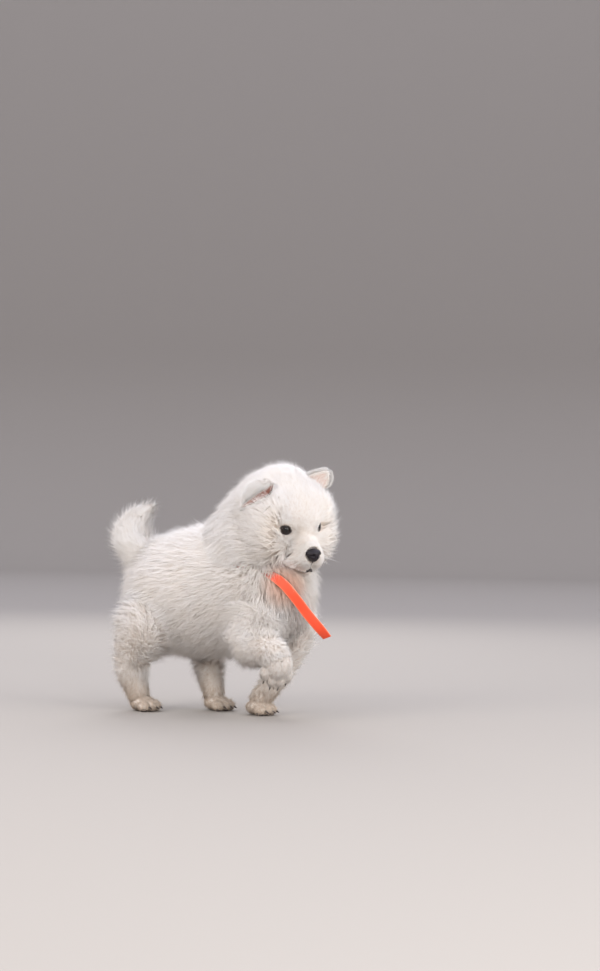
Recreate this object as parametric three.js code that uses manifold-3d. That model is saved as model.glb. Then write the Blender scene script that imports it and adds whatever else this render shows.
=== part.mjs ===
// A Samoyed puppy, about six weeks old, at its trot: a still, life-size model.
// It stands on both hind feet and the left forefoot, the right forefoot is raised, the head turns
// to the puppy's right, and a narrow ribbon is tied round the neck.
// Millimetres, +X forward, +Y to the puppy's left, +Z up. The floor is z = 0, and the finished
// group is centred over it.

import * as THREE from "three";
import { mergeVertices } from "three/addons/utils/BufferGeometryUtils.js";
import Module from "manifold-3d";

const wasm = await Module();
wasm.setup();

// Driving sizes
const GAP = 0.3; // between nodes that touch
const WELD = 0.003; // corners nearer than this are one
const CORE_SHARE = 0.5; // how much of the coat's depth the smooth core fills
const TIPS = 1.15; // the coat level of the locks' tips, past the mean outline, as it sinks between them
const SEED = 28;

const HEAD_CENTRE = [82, -4, 249];
const HEAD_YAW = -25; // degrees, to the right
const HEAD_PITCH = 12; // nose down
const HEAD_ROLL = 5; // left ear up

// Each station of a limb: x, y, z of its middle, half width across, half width in the plane of its
// bend, both out to the tips of the coat, and the coat's depth.
const TORSO = [
  [-149, 0, 138, 52, 64, 24],
  [-78, 0, 147, 66, 83, 26],
  [-10, 0, 153, 68, 90, 27],
  [55, 0, 157, 68, 92, 28],
  [122, 0, 152, 54, 66, 28],
];
const NECK = [
  [18, 0, 168, 62, 62, 28],
  [32, -2, 212, 63, 63, 28],
  [42, -4, 252, 51, 51, 24],
  [56, -5, 292, 36, 36, 18],
];
const TAIL = [
  [-98, 0, 174, 17, 17, 9],
  [-127, 0, 196, 28, 29, 20],
  [-143, 0, 220, 31, 32, 24],
  [-136, 0, 241, 21, 21, 16],
  [-112, 0, 259, 6, 6, 3],
];
const TAIL_CURL = [-100, 0, 212]; // the inside of its bend, where the rings crowd and no lock starts
const TAIL_CURL_CLEAR = 42;
const LEGS = {
  hind_right: [
    [
      [-96, -37, 150, 29, 46, 18],
      [-98, -43, 100, 30, 46, 19],
      [-116, -41, 56, 22, 28, 12],
      [-108, -37, 26, 16, 18, 6],
      [-103, -36, 9, 13, 14, 5],
    ],
  ],
  hind_left: [
    [
      [-84, 37, 150, 29, 43, 18],
      [-58, 41, 100, 28, 38, 17],
      [-46, 34, 58, 21, 26, 11],
      [-37, 29, 28, 16, 18, 6],
      [-31, 27, 9, 13, 14, 5],
    ],
  ],
  front_left: [
    [
      [84, 36, 142, 27, 36, 18],
      [76, 35, 94, 25, 30, 14],
      [58, 24, 46, 18, 20, 8],
      [43, 15, 22, 15, 16, 5],
      [37, 12, 9, 13, 14, 5],
    ],
  ],
  front_right: [
    [
      [74, -36, 142, 27, 36, 18],
      [58, -41, 112, 28, 36, 18],
      [42, -44, 84, 25, 27, 14],
    ],
    [
      [40, -44, 90, 26, 29, 15],
      [68, -48, 88, 26, 28, 13],
      [90, -50, 81, 22, 23, 9],
      [99, -50, 68, 17, 18, 6],
    ],
  ],
};
// Each paw: the middle of the pad, the way that the toes point, and the way that its back faces.
const PAWS = {
  hind_right: { at: [-98, -36, 9.5], toes: [1, 0, 0], back: [0, 0, 1] },
  hind_left: { at: [-27, 26, 9.5], toes: [1, 0, 0], back: [0, 0, 1] },
  front_left: { at: [42, 11, 9.5], toes: [1, 0, 0], back: [0, 0, 1] },
  front_right: { at: [98, -50, 64], toes: [-0.4, -0.02, -0.9], back: [0.66, -0.7, -0.28] },
};
const PAD = { length: 18, width: 16.5, height: 11.5, back: -2 }; // half sizes, and how far back it sits
const TOE = { length: 10, width: 6.4, height: 8, drop: -2.6 };
const TOE_PLACES = [
  [7, -12],
  [12.5, -4.3],
  [12.5, 4.3],
  [7, 12],
]; // forward of the paw's middle, and across
const CLAW = { length: 7, radius: 1.7, stoop: 0.55, ahead: 0.5, below: 1 };

// The head in its own frame: +X to the nose, +Y left, +Z up, from the middle of the skull.
const HEAD_HUB = [8, 0, -18]; // the point that every ray to the head's surface leaves from
const HEAD_FORMS = {
  skull: { at: [-4, 0, 5], half: [46, 46, 43] },
  brow: { at: [18, 0, -1], half: [23, 31, 23] },
  cheek: { at: [8, 27, -26], half: [27, 20, 24] },
  lip: { at: [45, 8.5, -44], half: [15, 10.5, 11] },
};
const BRIDGE = { from: [22, 0, -24], wide: 16, to: [53, 0, -34], narrow: 10.5 };
const JAW = { from: [20, 0, -44], wide: 14, to: [47, 0, -56], narrow: 7 };
const FACE_COAT = 2; // depth on the muzzle
const CHEEK_COAT = 21; // depth on the cheeks and throat
const CROWN_COAT = 15; // depth over the top of the skull
const FACE_FRONT = 38; // forward of this the coat is at its shortest
const FACE_BACK = 6; // behind this it is at its longest
const FACE_SIDE = 18; // further out than this the cheek's long coat begins, however far forward
const LONG_COAT = 6; // coat deeper than this grows locks
const SOFT = 12; // how far one form of the head melts into the next

const EYE = { at: [29.5, 21.5, -10], radius: 9, outward: 28, open: [7.6, 5.2], lid: 2.2 };
const NOSE = { at: [60, 0, -36], half: [8.5, 9.5, 7.5] };
const NOSTRIL = { at: [67, 5, -37], half: [3, 2.2, 1.6], outward: 40 };
const MOUTH = { front: [64, 0, -51], side: [50, 15, -54], corner: [30, 24, -50], groove: 1.3 };
const EARS = {
  right: { front: [10.6, -45.2, 35], back: [14, -50, 15], tip: [0.6, -61.2, 14], cup: 4 },
  left: { front: [-4, 27, 49], back: [-18, 40, 32], tip: [5, 66, 39], cup: 5 },
};
const EAR_THICK = 3.2;
const EAR_SUNK = 12; // how far its root reaches into the head
const EAR_CLEAR = 17; // no lock starts nearer than this to the middle of an ear

const RIBBON = { wide: 12, thick: 0.8, station: 0.22, slack: 0.6, droop: 12 };
const RIBBON_END = [
  [70, -31, 178],
  [86, -41, 174],
  [101, -40, 164],
  [115, -33, 146],
  [124, -22, 129],
  [132, -8, 113],
  [138, 4, 100],
];
const RIBBON_CLEAR = 15; // no lock starts nearer than this to the loose end
const RIBBON_FACE = [0.47, -0.88, 0]; // the way that its broad side turns
const RIBBON_TWIST = [-60, 0, 25]; // degrees about its length: at the knot, the middle and the end

// Colour, roughness and metalness of each finish
const FINISHES = {
  coat: [0xf1ede6, 0.85],
  nose: [0x1d1b20, 0.4],
  eye: [0x140c09, 0.08],
  ear: [0xe9d3c8, 0.8],
  ribbon: [0xff4a24, 0.45],
};

// Numbers and vectors
const vec = (a) => new THREE.Vector3(a[0], a[1], a[2]);
const clamp01 = (x) => Math.min(Math.max(x, 0), 1);
const smooth = (x) => clamp01(x) ** 2 * (3 - 2 * clamp01(x));
const mix = (a, b, t) => a + (b - a) * t;
const radians = THREE.MathUtils.degToRad;

// Seeded draws from 0 to 1, after Park and Miller.
function draws(seed) {
  let state = seed;
  return () => {
    state = (state * 16807) % 2147483647;
    return state / 2147483647;
  };
}

// A Catmull-Rom curve through evenly spaced values, at t from 0 to 1.
function spline(values, t) {
  const x = t * (values.length - 1);
  const i = Math.min(Math.floor(x), values.length - 2);
  const f = x - i;
  const p = [i - 1, i, i + 1, i + 2].map((k) => values[THREE.MathUtils.clamp(k, 0, values.length - 1)]);
  const bend = 2 * p[0] - 5 * p[1] + 4 * p[2] - p[3] + f * (3 * (p[1] - p[2]) + p[3] - p[0]);
  return p[1] + 0.5 * f * (p[2] - p[0] + f * bend);
}

// Solids
function solidOf(geometry, closeness = 1e-4) {
  geometry.deleteAttribute("normal");
  geometry.deleteAttribute("uv");
  const merged = mergeVertices(geometry, closeness);
  const mesh = new wasm.Mesh({
    numProp: 3,
    vertProperties: new Float32Array(merged.attributes.position.array),
    triVerts: new Uint32Array(merged.index.array),
  });
  return new wasm.Manifold(mesh);
}

function cornersOf(solid) {
  const { vertProperties } = solid.getMesh();
  return Array.from({ length: vertProperties.length / 3 }, (_, i) =>
    new THREE.Vector3().fromArray(vertProperties, 3 * i),
  );
}
function geometryOf(solid) {
  const geometry = new THREE.BufferGeometry().setFromPoints(cornersOf(solid));
  geometry.setIndex(Array.from(solid.getMesh().triVerts));
  return geometry;
}
function volumeOf(solid) {
  const corners = cornersOf(solid);
  const { triVerts } = solid.getMesh();
  let sum = 0;
  for (let i = 0; i < triVerts.length; i += 3) {
    const [a, b, c] = [0, 1, 2].map((k) => corners[triVerts[i + k]]);
    sum += a.dot(b.clone().cross(c)) / 6;
  }
  return sum;
}

// A closed solid from rings of points between two poles. It comes out facing outwards. The quads of
// a thin sheet, whose rings go out along one face and back along the other, are split alike on both.
function ringSolid(start, rings, end, thin = false) {
  const sides = rings[0].length;
  const points = [start, ...rings.flat(), end];
  const last = points.length - 1;
  const faces = [];
  for (let j = 0; j < sides; j++) {
    const k = (j + 1) % sides;
    faces.push([0, 1 + k, 1 + j]);
    for (let i = 0; i + 1 < rings.length; i++) {
      const [a, b, c, d] = [j, k, sides + k, sides + j].map((n) => 1 + i * sides + n);
      if (thin && j >= sides / 2) faces.push([a, b, d], [b, c, d]);
      else faces.push([a, b, c], [a, c, d]);
    }
    const base = 1 + (rings.length - 1) * sides;
    faces.push([base + j, base + k, last]);
  }
  let volume = 0;
  for (const [a, b, c] of faces) volume += points[a].dot(points[b].clone().cross(points[c]));
  if (volume < 0) faces.forEach((f) => f.reverse());
  const geometry = new THREE.BufferGeometry().setFromPoints(points);
  geometry.setIndex(faces.flat());
  return solidOf(geometry);
}

// The same solid with every corner moved out, for the room that it needs. A corner moves along the
// sum of its faces' normals, each weighed by its angle there.
function grown(solid, by) {
  const mesh = solid.getMesh();
  const corners = cornersOf(solid);
  const normals = corners.map(() => new THREE.Vector3());
  for (let i = 0; i < mesh.triVerts.length; i += 3) {
    const face = Array.from(mesh.triVerts.slice(i, i + 3));
    const [a, b, c] = face.map((k) => corners[k]);
    const normal = b.clone().sub(a).cross(c.clone().sub(a)).normalize();
    face.forEach((k, n) => {
      const [next, last] = [1, 2].map((m) => corners[face[(n + m) % 3]].clone().sub(corners[k]));
      normals[k].addScaledVector(normal, next.angleTo(last));
    });
  }
  const moved = corners.map((corner, i) => corner.addScaledVector(normals[i].normalize(), by));
  const geometry = new THREE.BufferGeometry().setFromPoints(moved);
  geometry.setIndex(Array.from(mesh.triVerts));
  return solidOf(geometry);
}

// The same geometry with corners nearer than WELD to one another made one, and no flat faces left.
function welded(geometry) {
  const places = geometry.getAttribute("position");
  const kept = [];
  const cells = new Map();
  const cellOf = (p, shift = [0, 0, 0]) =>
    p.toArray().map((x, k) => Math.floor(x / WELD) + shift[k]).join();
  const around = [-1, 0, 1].flatMap((x) => [-1, 0, 1].flatMap((y) => [-1, 0, 1].map((z) => [x, y, z])));
  const names = Array.from({ length: places.count }, (_, i) => {
    const p = new THREE.Vector3().fromBufferAttribute(places, i);
    for (const shift of around) {
      for (const k of cells.get(cellOf(p, shift)) ?? []) if (kept[k].distanceTo(p) < WELD) return k;
    }
    kept.push(p);
    const cell = cellOf(p);
    cells.set(cell, [...(cells.get(cell) ?? []), kept.length - 1]);
    return kept.length - 1;
  });
  const corners = Array.from(geometry.index.array, (k) => names[k]);
  const faces = [];
  for (let i = 0; i < corners.length; i += 3) {
    const face = corners.slice(i, i + 3);
    if (new Set(face).size === 3) faces.push(...face);
  }
  const made = new THREE.BufferGeometry().setFromPoints(kept);
  made.setIndex(faces);
  return made;
}

// The largest closed surface of a solid, as a geometry. Sealed hollows and loose scraps are dropped,
// again once corners that all but touch are one.
function outerShell(solid) {
  let kept = geometryOf(solid);
  for (let pass = 0; pass < 3; pass++) {
    const bodies = solidOf(kept).decompose();
    const largest = bodies.reduce((a, b) => (volumeOf(b) > volumeOf(a) ? b : a));
    kept = welded(geometryOf(largest));
  }
  return kept;
}

const joined = (solids) => solids.reduce((all, one) => all.add(one));
const carved = (solid, cutters) => cutters.reduce((left, cutter) => left.subtract(cutter), solid);

function ellipsoid(at, half, sides, turn = new THREE.Matrix4()) {
  const geometry = new THREE.SphereGeometry(1, sides, Math.ceil(sides * 0.6));
  geometry.scale(...half);
  geometry.applyMatrix4(turn);
  geometry.translate(...at);
  return solidOf(geometry);
}

// A limb: at(u, v, level, extra) is a point u along it and v of a turn round it, at a coat level
// from 0, the skin, to 1, the tips, pushed out by extra. Both ends close in a rounded cap.
function limb(stations, caps = [0.3, 0.3], blunt = 2.4) {
  const track = stations[0].map((_, k) => (u) => spline(stations.map((s) => s[k]), clamp01(u)));
  const middle = (u) => new THREE.Vector3(track[0](u), track[1](u), track[2](u));
  const closing = (u) => {
    const into = Math.max((caps[0] - u) / caps[0], (u - 1 + caps[1]) / caps[1], 0);
    return (1 - Math.min(into, 1) ** blunt) ** (1 / blunt);
  };
  const frameAt = (u) => {
    const ahead = middle(Math.min(u + 0.02, 1));
    const along = ahead.sub(middle(Math.max(u - 0.02, 0))).normalize();
    const across = new THREE.Vector3(0, 1, 0).addScaledVector(along, -along.y).normalize();
    return { along, across, over: along.clone().cross(across) };
  };
  const at = (u, v, level, extra = 0) => {
    const { across, over } = frameAt(u);
    const bare = (1 - level) * track[5](u) - extra;
    const [a, b] = [track[3](u) - bare, track[4](u) - bare].map((r) => r * closing(u));
    const turn = 2 * Math.PI * v;
    const round = middle(u).addScaledVector(across, a * Math.cos(turn));
    return round.addScaledVector(over, b * Math.sin(turn));
  };
  // True where p lies inside the limb at that coat level, by thick slices across it.
  const [slices, sliceHalf] = [24, 9];
  const holds = (p, level) => {
    for (let i = 0; i <= slices; i++) {
      const u = i / slices;
      const { along, across, over } = frameAt(u);
      const away = p.clone().sub(middle(u));
      const bare = (1 - level) * track[5](u);
      const [a, b] = [track[3](u) - bare, track[4](u) - bare].map((r) => Math.max(r * closing(u), 0.1));
      const reach = Math.hypot(away.dot(across) / a, away.dot(over) / b, away.dot(along) / sliceHalf);
      if (reach < 1) return true;
    }
    return false;
  };
  const solid = (level, sides, rings, extra = 0) => {
    const loops = Array.from({ length: rings }, (_, i) => {
      const u = 0.5 - 0.5 * Math.cos((Math.PI * (i + 1)) / (rings + 1)); // closer together at the ends
      return Array.from({ length: sides }, (_, j) => at(u, j / sides, level, extra));
    });
    return ringSolid(middle(0), loops, middle(1));
  };
  return { at, holds, solid, middle, frameAt };
}

// The head's skin is where this field is zero: rounded forms that melt into one another.
function blend(a, b, soft) {
  const near = Math.max(soft - Math.abs(a - b), 0) / soft;
  return Math.min(a, b) - near * near * soft * 0.25;
}
function fromEllipsoid(p, { at, half }) {
  const [x, y, z] = [p.x - at[0], p.y - at[1], p.z - at[2]];
  const k0 = Math.hypot(x / half[0], y / half[1], z / half[2]);
  const k1 = Math.hypot(x / half[0] ** 2, y / half[1] ** 2, z / half[2] ** 2);
  return (k0 * (k0 - 1)) / Math.max(k1, 1e-9);
}
function fromCone(p, { from, wide, to, narrow }) {
  const axis = vec(to).sub(vec(from));
  const away = p.clone().sub(vec(from));
  const t = clamp01(away.dot(axis) / axis.lengthSq());
  return away.addScaledVector(axis, -t).length() - mix(wide, narrow, t);
}
function headField(p) {
  const half = new THREE.Vector3(p.x, Math.abs(p.y), p.z); // both sides alike
  let d = blend(fromEllipsoid(half, HEAD_FORMS.skull), fromEllipsoid(half, HEAD_FORMS.brow), SOFT);
  d = blend(d, fromEllipsoid(half, HEAD_FORMS.cheek), SOFT);
  d = blend(d, fromCone(half, BRIDGE), SOFT);
  d = blend(d, fromCone(half, JAW), SOFT * 0.6);
  return blend(d, fromEllipsoid(half, HEAD_FORMS.lip), SOFT * 0.5);
}

const headTurn = new THREE.Matrix4().makeRotationFromEuler(
  new THREE.Euler(radians(HEAD_ROLL), radians(HEAD_PITCH), radians(HEAD_YAW), "ZYX"),
);
const headPlace = new THREE.Matrix4().makeTranslation(vec(HEAD_CENTRE)).multiply(headTurn);
const intoHead = headPlace.clone().invert();
const toHead = (p) => p.clone().applyMatrix4(intoHead);
const fromHead = (p) => (p.isVector3 ? p.clone() : vec(p)).applyMatrix4(headPlace);

// The head, found along rays from its hub: u runs from the nose, 0, to the nape, 1, and v round.
const head = (() => {
  const ray = (u, v) => {
    const [polar, turn] = [Math.PI * u, 2 * Math.PI * v];
    const side = Math.sin(polar);
    return new THREE.Vector3(Math.cos(polar), side * Math.cos(turn), side * Math.sin(turn));
  };
  const skin = (way) => {
    let [inside, outside] = [0, 130];
    for (let i = 0; i < 22; i++) {
      const half = (inside + outside) / 2;
      if (headField(vec(HEAD_HUB).addScaledVector(way, half)) < 0) inside = half;
      else outside = half;
    }
    return inside;
  };
  const depth = (p) => {
    const back = p.x - 0.9 * Math.max(Math.abs(p.y) - FACE_SIDE, 0);
    const full = mix(CHEEK_COAT, CROWN_COAT, smooth((p.z + 5) / 30));
    return mix(FACE_COAT, full, smooth((FACE_FRONT - back) / (FACE_FRONT - FACE_BACK)));
  };
  const at = (u, v, level) => {
    const way = ray(u, v);
    const bare = skin(way);
    const coat = depth(vec(HEAD_HUB).addScaledVector(way, bare));
    return fromHead(vec(HEAD_HUB).addScaledVector(way, bare + level * coat));
  };
  const coatAt = (p) => depth(toHead(p));
  // True where p lies inside the head's coat at that level.
  const holds = (p, level) => headField(toHead(p)) < level * coatAt(p);
  const solid = (sides, rings) => {
    const corner = (u, v) => {
      const short = 1 - smooth((coatAt(at(u, v, 0)) - FACE_COAT - 2) / LONG_COAT);
      return at(u, v, mix(CORE_SHARE, 1, short)); // the face keeps its whole coat
    };
    const us = Array.from({ length: rings }, (_, i) => ((i + 1) / (rings + 1)) ** 1.15);
    const loops = us.map((u) => Array.from({ length: sides }, (_, j) => corner(u, j / sides)));
    return ringSolid(corner(0, 0), loops, corner(1, 0));
  };
  return { at, coatAt, holds, solid };
})();

// From a place (u, v) on a surface, the place a given length on, the way that the coat lies there.
function stepAlong(surface, [u, v], way, length) {
  const nudge = u > 0.5 ? -0.01 : 0.01;
  const here = surface.at(u, v, 1);
  const alongU = surface.at(u + nudge, v, 1).sub(here).divideScalar(nudge);
  const alongV = surface.at(u, v + nudge, 1).sub(here).divideScalar(nudge);
  const [a, b, c] = [alongU.lengthSq(), alongU.dot(alongV), alongV.lengthSq()];
  const [p, q] = [alongU, alongV].map((tangent) => tangent.dot(way(here)));
  const [du, dv] = [c * p - b * q, a * q - b * p];
  const pace = alongU.multiplyScalar(du).addScaledVector(alongV, dv).length();
  return [THREE.MathUtils.clamp(u + (du * length) / pace, 0.04, 0.95), v + (dv * length) / pace];
}

// A flat, tapered lock of hair. Its edges lie sunk in the core, its ridge rises through the coat as
// the lock bends over, and its pointed end stands free. Each section is at a share of its length.
const LOCK_SECTIONS = [
  { share: 0, edge: 0.02, ridge: 0.16, wide: 0.7 },
  { share: 0.34, edge: 0.3, ridge: 0.7, wide: 1 },
  { share: 0.7, edge: 0.36, ridge: 0.96, wide: 0.66 },
];
function lock(surface, root, way, { length, width, lean, reach }) {
  const rings = [];
  let spot = root;
  LOCK_SECTIONS.forEach(({ share, edge, ridge, wide }, i) => {
    const next = stepAlong(surface, spot, way, length * ((LOCK_SECTIONS[i + 1]?.share ?? 1) - share));
    const foot = surface.at(...spot, edge);
    const top = surface.at(...spot, ridge * reach);
    const side = surface.at(...next, edge).sub(foot).cross(surface.at(...spot, 1).sub(foot)).normalize();
    const half = (width / 2) * wide;
    const edges = [half, -half].map((out) => {
      const beside = stepAlong(surface, spot, () => side.clone().multiplyScalar(Math.sign(out)), half);
      return surface.at(...beside, edge);
    });
    rings.push([edges[0], top.addScaledVector(side, half * lean), edges[1]]);
    spot = next;
  });
  const base = rings[0].reduce((sum, p) => sum.add(p), new THREE.Vector3()).divideScalar(3);
  return ringSolid(base, rings, surface.at(...spot, reach));
}

// Rings of locks over a surface, each a little out of place, but for roots that another part hides.
function coat(surface, { rows, count, way, size, hidden }, seed) {
  const draw = draws(seed);
  const spread = (range) => range * (2 * draw() - 1);
  const locks = [];
  rows.forEach((u, row) => {
    for (let j = 0; j < count; j++) {
      const root = [u + spread(0.012), (j + 0.5 * (row % 2) + spread(0.16)) / count];
      const [grade, lean, reach] = [1 + spread(0.16), spread(0.4), TIPS + spread(0.06)];
      if (hidden(surface.at(...root, 1))) continue;
      const shape = { length: size.length * grade, width: size.width, lean, reach };
      locks.push(lock(surface, root, way, shape));
    }
  });
  return locks;
}

// The body's parts
const torso = limb(TORSO, [0.3, 0.32]);
const neck = limb(NECK, [0.35, 0.35]);
const tail = limb(TAIL, [0.2, 0.35]);
const legs = Object.fromEntries(
  Object.entries(LEGS).map(([name, runs]) => [name, runs.map((stations) => limb(stations, [0.22, 0.12]))]),
);
const legRuns = Object.values(legs).flat();

// The zones that part the whole into nodes
const HEAD_ZONE = { at: [2, 0, -2], half: [76, 78, 75] };
const TAIL_ZONE = { at: [-136, 0, 236], half: [50, 44, 50] };
const NECK_ZONE = { at: [48, -2, 210], half: [80, 80, 50], lean: 24 };
function headZone(extra) {
  const half = HEAD_ZONE.half.map((h) => h + extra);
  return ellipsoid(fromHead(HEAD_ZONE.at).toArray(), half, 14, headTurn);
}
function neckZone(extra) {
  const half = NECK_ZONE.half.map((h) => h + extra);
  return ellipsoid(NECK_ZONE.at, half, 12, new THREE.Matrix4().makeRotationY(radians(NECK_ZONE.lean)));
}
const legZone = (name, extra) => joined(legs[name].map((run) => run.solid(1, 8, 6, 6 + extra)));
const tailZone = (extra) => ellipsoid(TAIL_ZONE.at, TAIL_ZONE.half.map((h) => h + extra), 12);

// Paws: a pad, four toes and a claw on each toe. Each paw's own turn comes from its toes and back.
function pawPlace({ at, toes, back }) {
  const [forward, up] = [vec(toes).normalize(), vec(back).normalize()];
  const across = up.clone().cross(forward).normalize();
  const turn = new THREE.Matrix4().makeBasis(forward, across, forward.clone().cross(across));
  const place = (x, y, z) => vec([x, y, z]).applyMatrix4(turn).add(vec(at)).toArray();
  return { turn, place };
}
function paw(sizes) {
  const { turn, place } = pawPlace(sizes);
  const parts = [ellipsoid(place(PAD.back, 0, 0), [PAD.length, PAD.width, PAD.height], 8, turn)];
  for (const [x, y] of TOE_PLACES) {
    parts.push(ellipsoid(place(x, y, TOE.drop), [TOE.length, TOE.width, TOE.height], 6, turn));
    const claw = new THREE.ConeGeometry(CLAW.radius, CLAW.length, 4);
    claw.rotateZ(-Math.PI / 2).rotateY(CLAW.stoop);
    claw.applyMatrix4(turn).translate(...place(x + TOE.length + CLAW.ahead, y, TOE.drop - CLAW.below));
    parts.push(solidOf(claw));
  }
  return joined(parts);
}
const PAW_ZONE = { half: [29, 25, 17], ahead: 2 };
function pawZone(name, extra) {
  const { turn, place } = pawPlace(PAWS[name]);
  const half = PAW_ZONE.half.map((h) => h + extra);
  return ellipsoid(place(PAW_ZONE.ahead, 0, 0), half, 8, turn);
}

// An ear: a cupped, pointed flap from the line between its front and back roots to its tip.
function ear({ front, back, tip, cup }) {
  const [sides, steps] = [6, 5];
  const [a, b, top] = [vec(front), vec(back), vec(tip)];
  const foot = a.clone().lerp(b, 0.5);
  const half = b.clone().sub(a).multiplyScalar(0.5);
  const rise = top.clone().sub(foot);
  const sunk = rise.clone().normalize().multiplyScalar(-EAR_SUNK); // the root sits in the head
  const hollow = half.clone().cross(rise).normalize();
  if (hollow.z < 0) hollow.negate();
  const sheet = (u, w) => {
    const wide = (1 - u ** 1.7) ** 0.8;
    const line = foot.clone().addScaledVector(rise, u).addScaledVector(half, w * wide);
    line.addScaledVector(hollow, cup * (1 - w * w) * wide * (1 - 0.4 * u));
    return line.addScaledVector(sunk, (1 - u) ** 4);
  };
  const loop = (u) => {
    const points = [];
    for (let j = 0; j < 2 * sides; j++) {
      const outer = j < sides;
      const w = outer ? -1 + (2 * j) / sides : 1 - (2 * (j - sides)) / sides;
      const wall = (EAR_THICK / 2) * (0.35 + 0.65 * (1 - w * w));
      points.push(sheet(u, w).addScaledVector(hollow, outer ? wall : -wall));
    }
    return points.map(fromHead);
  };
  const rings = Array.from({ length: steps }, (_, i) => loop((0.96 * i) / (steps - 1)));
  return ringSolid(fromHead(sheet(0, 0)), rings, fromHead(top), true);
}

// An eye's ball, the lids round it and the almond opening between them.
function eyeParts(side) {
  const at = [EYE.at[0], EYE.at[1] * side, EYE.at[2]];
  const outward = new THREE.Matrix4().makeRotationZ(radians(EYE.outward * side));
  const centre = fromHead(at).toArray();
  const turn = headTurn.clone().multiply(outward);
  const lids = ellipsoid(centre, Array(3).fill(EYE.radius + EYE.lid), 12, turn);
  const socket = ellipsoid(centre, Array(3).fill(EYE.radius + GAP), 12, turn);
  const [wide, high] = EYE.open;
  const almond = new THREE.Shape();
  almond.moveTo(-wide, 0);
  almond.quadraticCurveTo(0, high * 2, wide, 0);
  almond.quadraticCurveTo(0, -high * 1.7, -wide, 0); // the lower lid is flatter
  const cut = new THREE.ExtrudeGeometry(almond, { depth: 30, bevelEnabled: false, curveSegments: 4 });
  cut.applyMatrix4(new THREE.Matrix4().makeBasis(vec([0, 1, 0]), vec([0, 0, 1]), vec([1, 0, 0])));
  cut.applyMatrix4(turn).translate(...centre);
  const ball = ellipsoid(centre, Array(3).fill(EYE.radius), 12, turn);
  return { ball, lids, socket, opening: solidOf(cut) };
}

// The nose leather, with two nostrils that open forward and outward.
function nose(extra) {
  const body = ellipsoid(fromHead(NOSE.at).toArray(), NOSE.half.map((h) => h + extra), 12, headTurn);
  if (extra) return body;
  const nostrils = [1, -1].map((side) => {
    const [x, y, z] = NOSTRIL.at;
    const outward = new THREE.Matrix4().makeRotationZ(radians(NOSTRIL.outward * side));
    const turn = headTurn.clone().multiply(outward);
    return ellipsoid(fromHead([x, y * side, z]).toArray(), NOSTRIL.half, 6, turn);
  });
  return carved(body, nostrils);
}

// The line of the mouth: a thin rod along the lips that is carved away.
function mouthLine() {
  const { front, side, corner, groove } = MOUTH;
  const mirrored = ([x, y, z]) => [x, -y, z];
  const points = [corner, side, front, mirrored(side), mirrored(corner)].map(fromHead);
  const path = new THREE.CatmullRomCurve3(points);
  const section = new THREE.Shape().absarc(0, 0, groove, 0, 2 * Math.PI);
  return solidOf(new THREE.ExtrudeGeometry(section, { steps: 9, curveSegments: 3, extrudePath: path }));
}

// The ribbon: a band round the neck, and the loose end that flies in front of the chest. Both are
// strips through the corners [across, out] of a section at each step.
const CORNER_SIGNS = [
  [1, 1],
  [-1, 1],
  [-1, -1],
  [1, -1],
];
function stripCorners(extra) {
  const [w, h] = [RIBBON.wide / 2 + extra, RIBBON.thick / 2 + extra];
  return CORNER_SIGNS.map(([across, out]) => [across * w, out * h]);
}
function ribbonBand(extra) {
  const [sides, corners] = [26, 4];
  const { along } = neck.frameAt(RIBBON.station);
  const rise = RIBBON.slack + RIBBON.thick / 2;
  const points = [];
  for (let j = 0; j < sides; j++) {
    const v = j / sides;
    const foot = neck.at(RIBBON.station, v, CORE_SHARE, rise);
    const out = neck.at(RIBBON.station, v, CORE_SHARE, rise + 1).sub(foot);
    foot.addScaledVector(along, RIBBON.droop * Math.sin(2 * Math.PI * v));
    for (const [w, h] of stripCorners(extra)) {
      points.push(foot.clone().addScaledVector(along, w).addScaledVector(out, h));
    }
  }
  const faces = [];
  for (let j = 0; j < sides; j++) {
    for (let k = 0; k < corners; k++) {
      const [here, next] = [corners * j, corners * ((j + 1) % sides)];
      const [a, b, c, d] = [here + k, here + ((k + 1) % corners), next + ((k + 1) % corners), next + k];
      if (k < 2) faces.push([a, b, c], [a, c, d]);
      else faces.push([a, b, d], [b, c, d]);
    }
  }
  const geometry = new THREE.BufferGeometry().setFromPoints(points);
  geometry.setIndex(faces.flat());
  return solidOf(geometry);
}
function ribbonEnd(extra) {
  const path = new THREE.CatmullRomCurve3(RIBBON_END.map(vec));
  const steps = 14;
  const centres = [];
  const rings = Array.from({ length: steps + 1 }, (_, i) => {
    const t = i / steps;
    const along = path.getTangent(t);
    const side = vec(RIBBON_FACE).cross(along).normalize();
    const across = side.applyAxisAngle(along, radians(spline(RIBBON_TWIST, t)));
    const out = along.clone().cross(across);
    const push = extra * Math.sign((i > 0) + (i === steps) - 1);
    const centre = path.getPoint(t).addScaledVector(along, push);
    centres.push(centre);
    const corner = ([w, h]) => centre.clone().addScaledVector(across, w).addScaledVector(out, h);
    return stripCorners(extra).map(corner);
  });
  return ringSolid(centres[0], rings, centres[steps], true);
}

// The lie of the coat at a place, as a direction that its surface then flattens
const lies = {
  torso: (p) => {
    const chest = smooth((p.x - 30) / 60);
    const rump = smooth((-95 - p.x) / 40);
    const down = Math.max(chest, rump);
    return new THREE.Vector3(mix(-1, -0.25, down), 0, mix(-0.5, -1, down));
  },
  neck: () => new THREE.Vector3(-0.45, 0, -1),
  head: (p) => {
    const away = p.clone().sub(fromHead([34, 0, -12]));
    return away.setZ(away.z - 30);
  },
  tail: (p) => new THREE.Vector3(0.02 * (p.z - 190), 0, 1),
  leg: () => new THREE.Vector3(-0.15, 0, -1),
};

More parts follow.
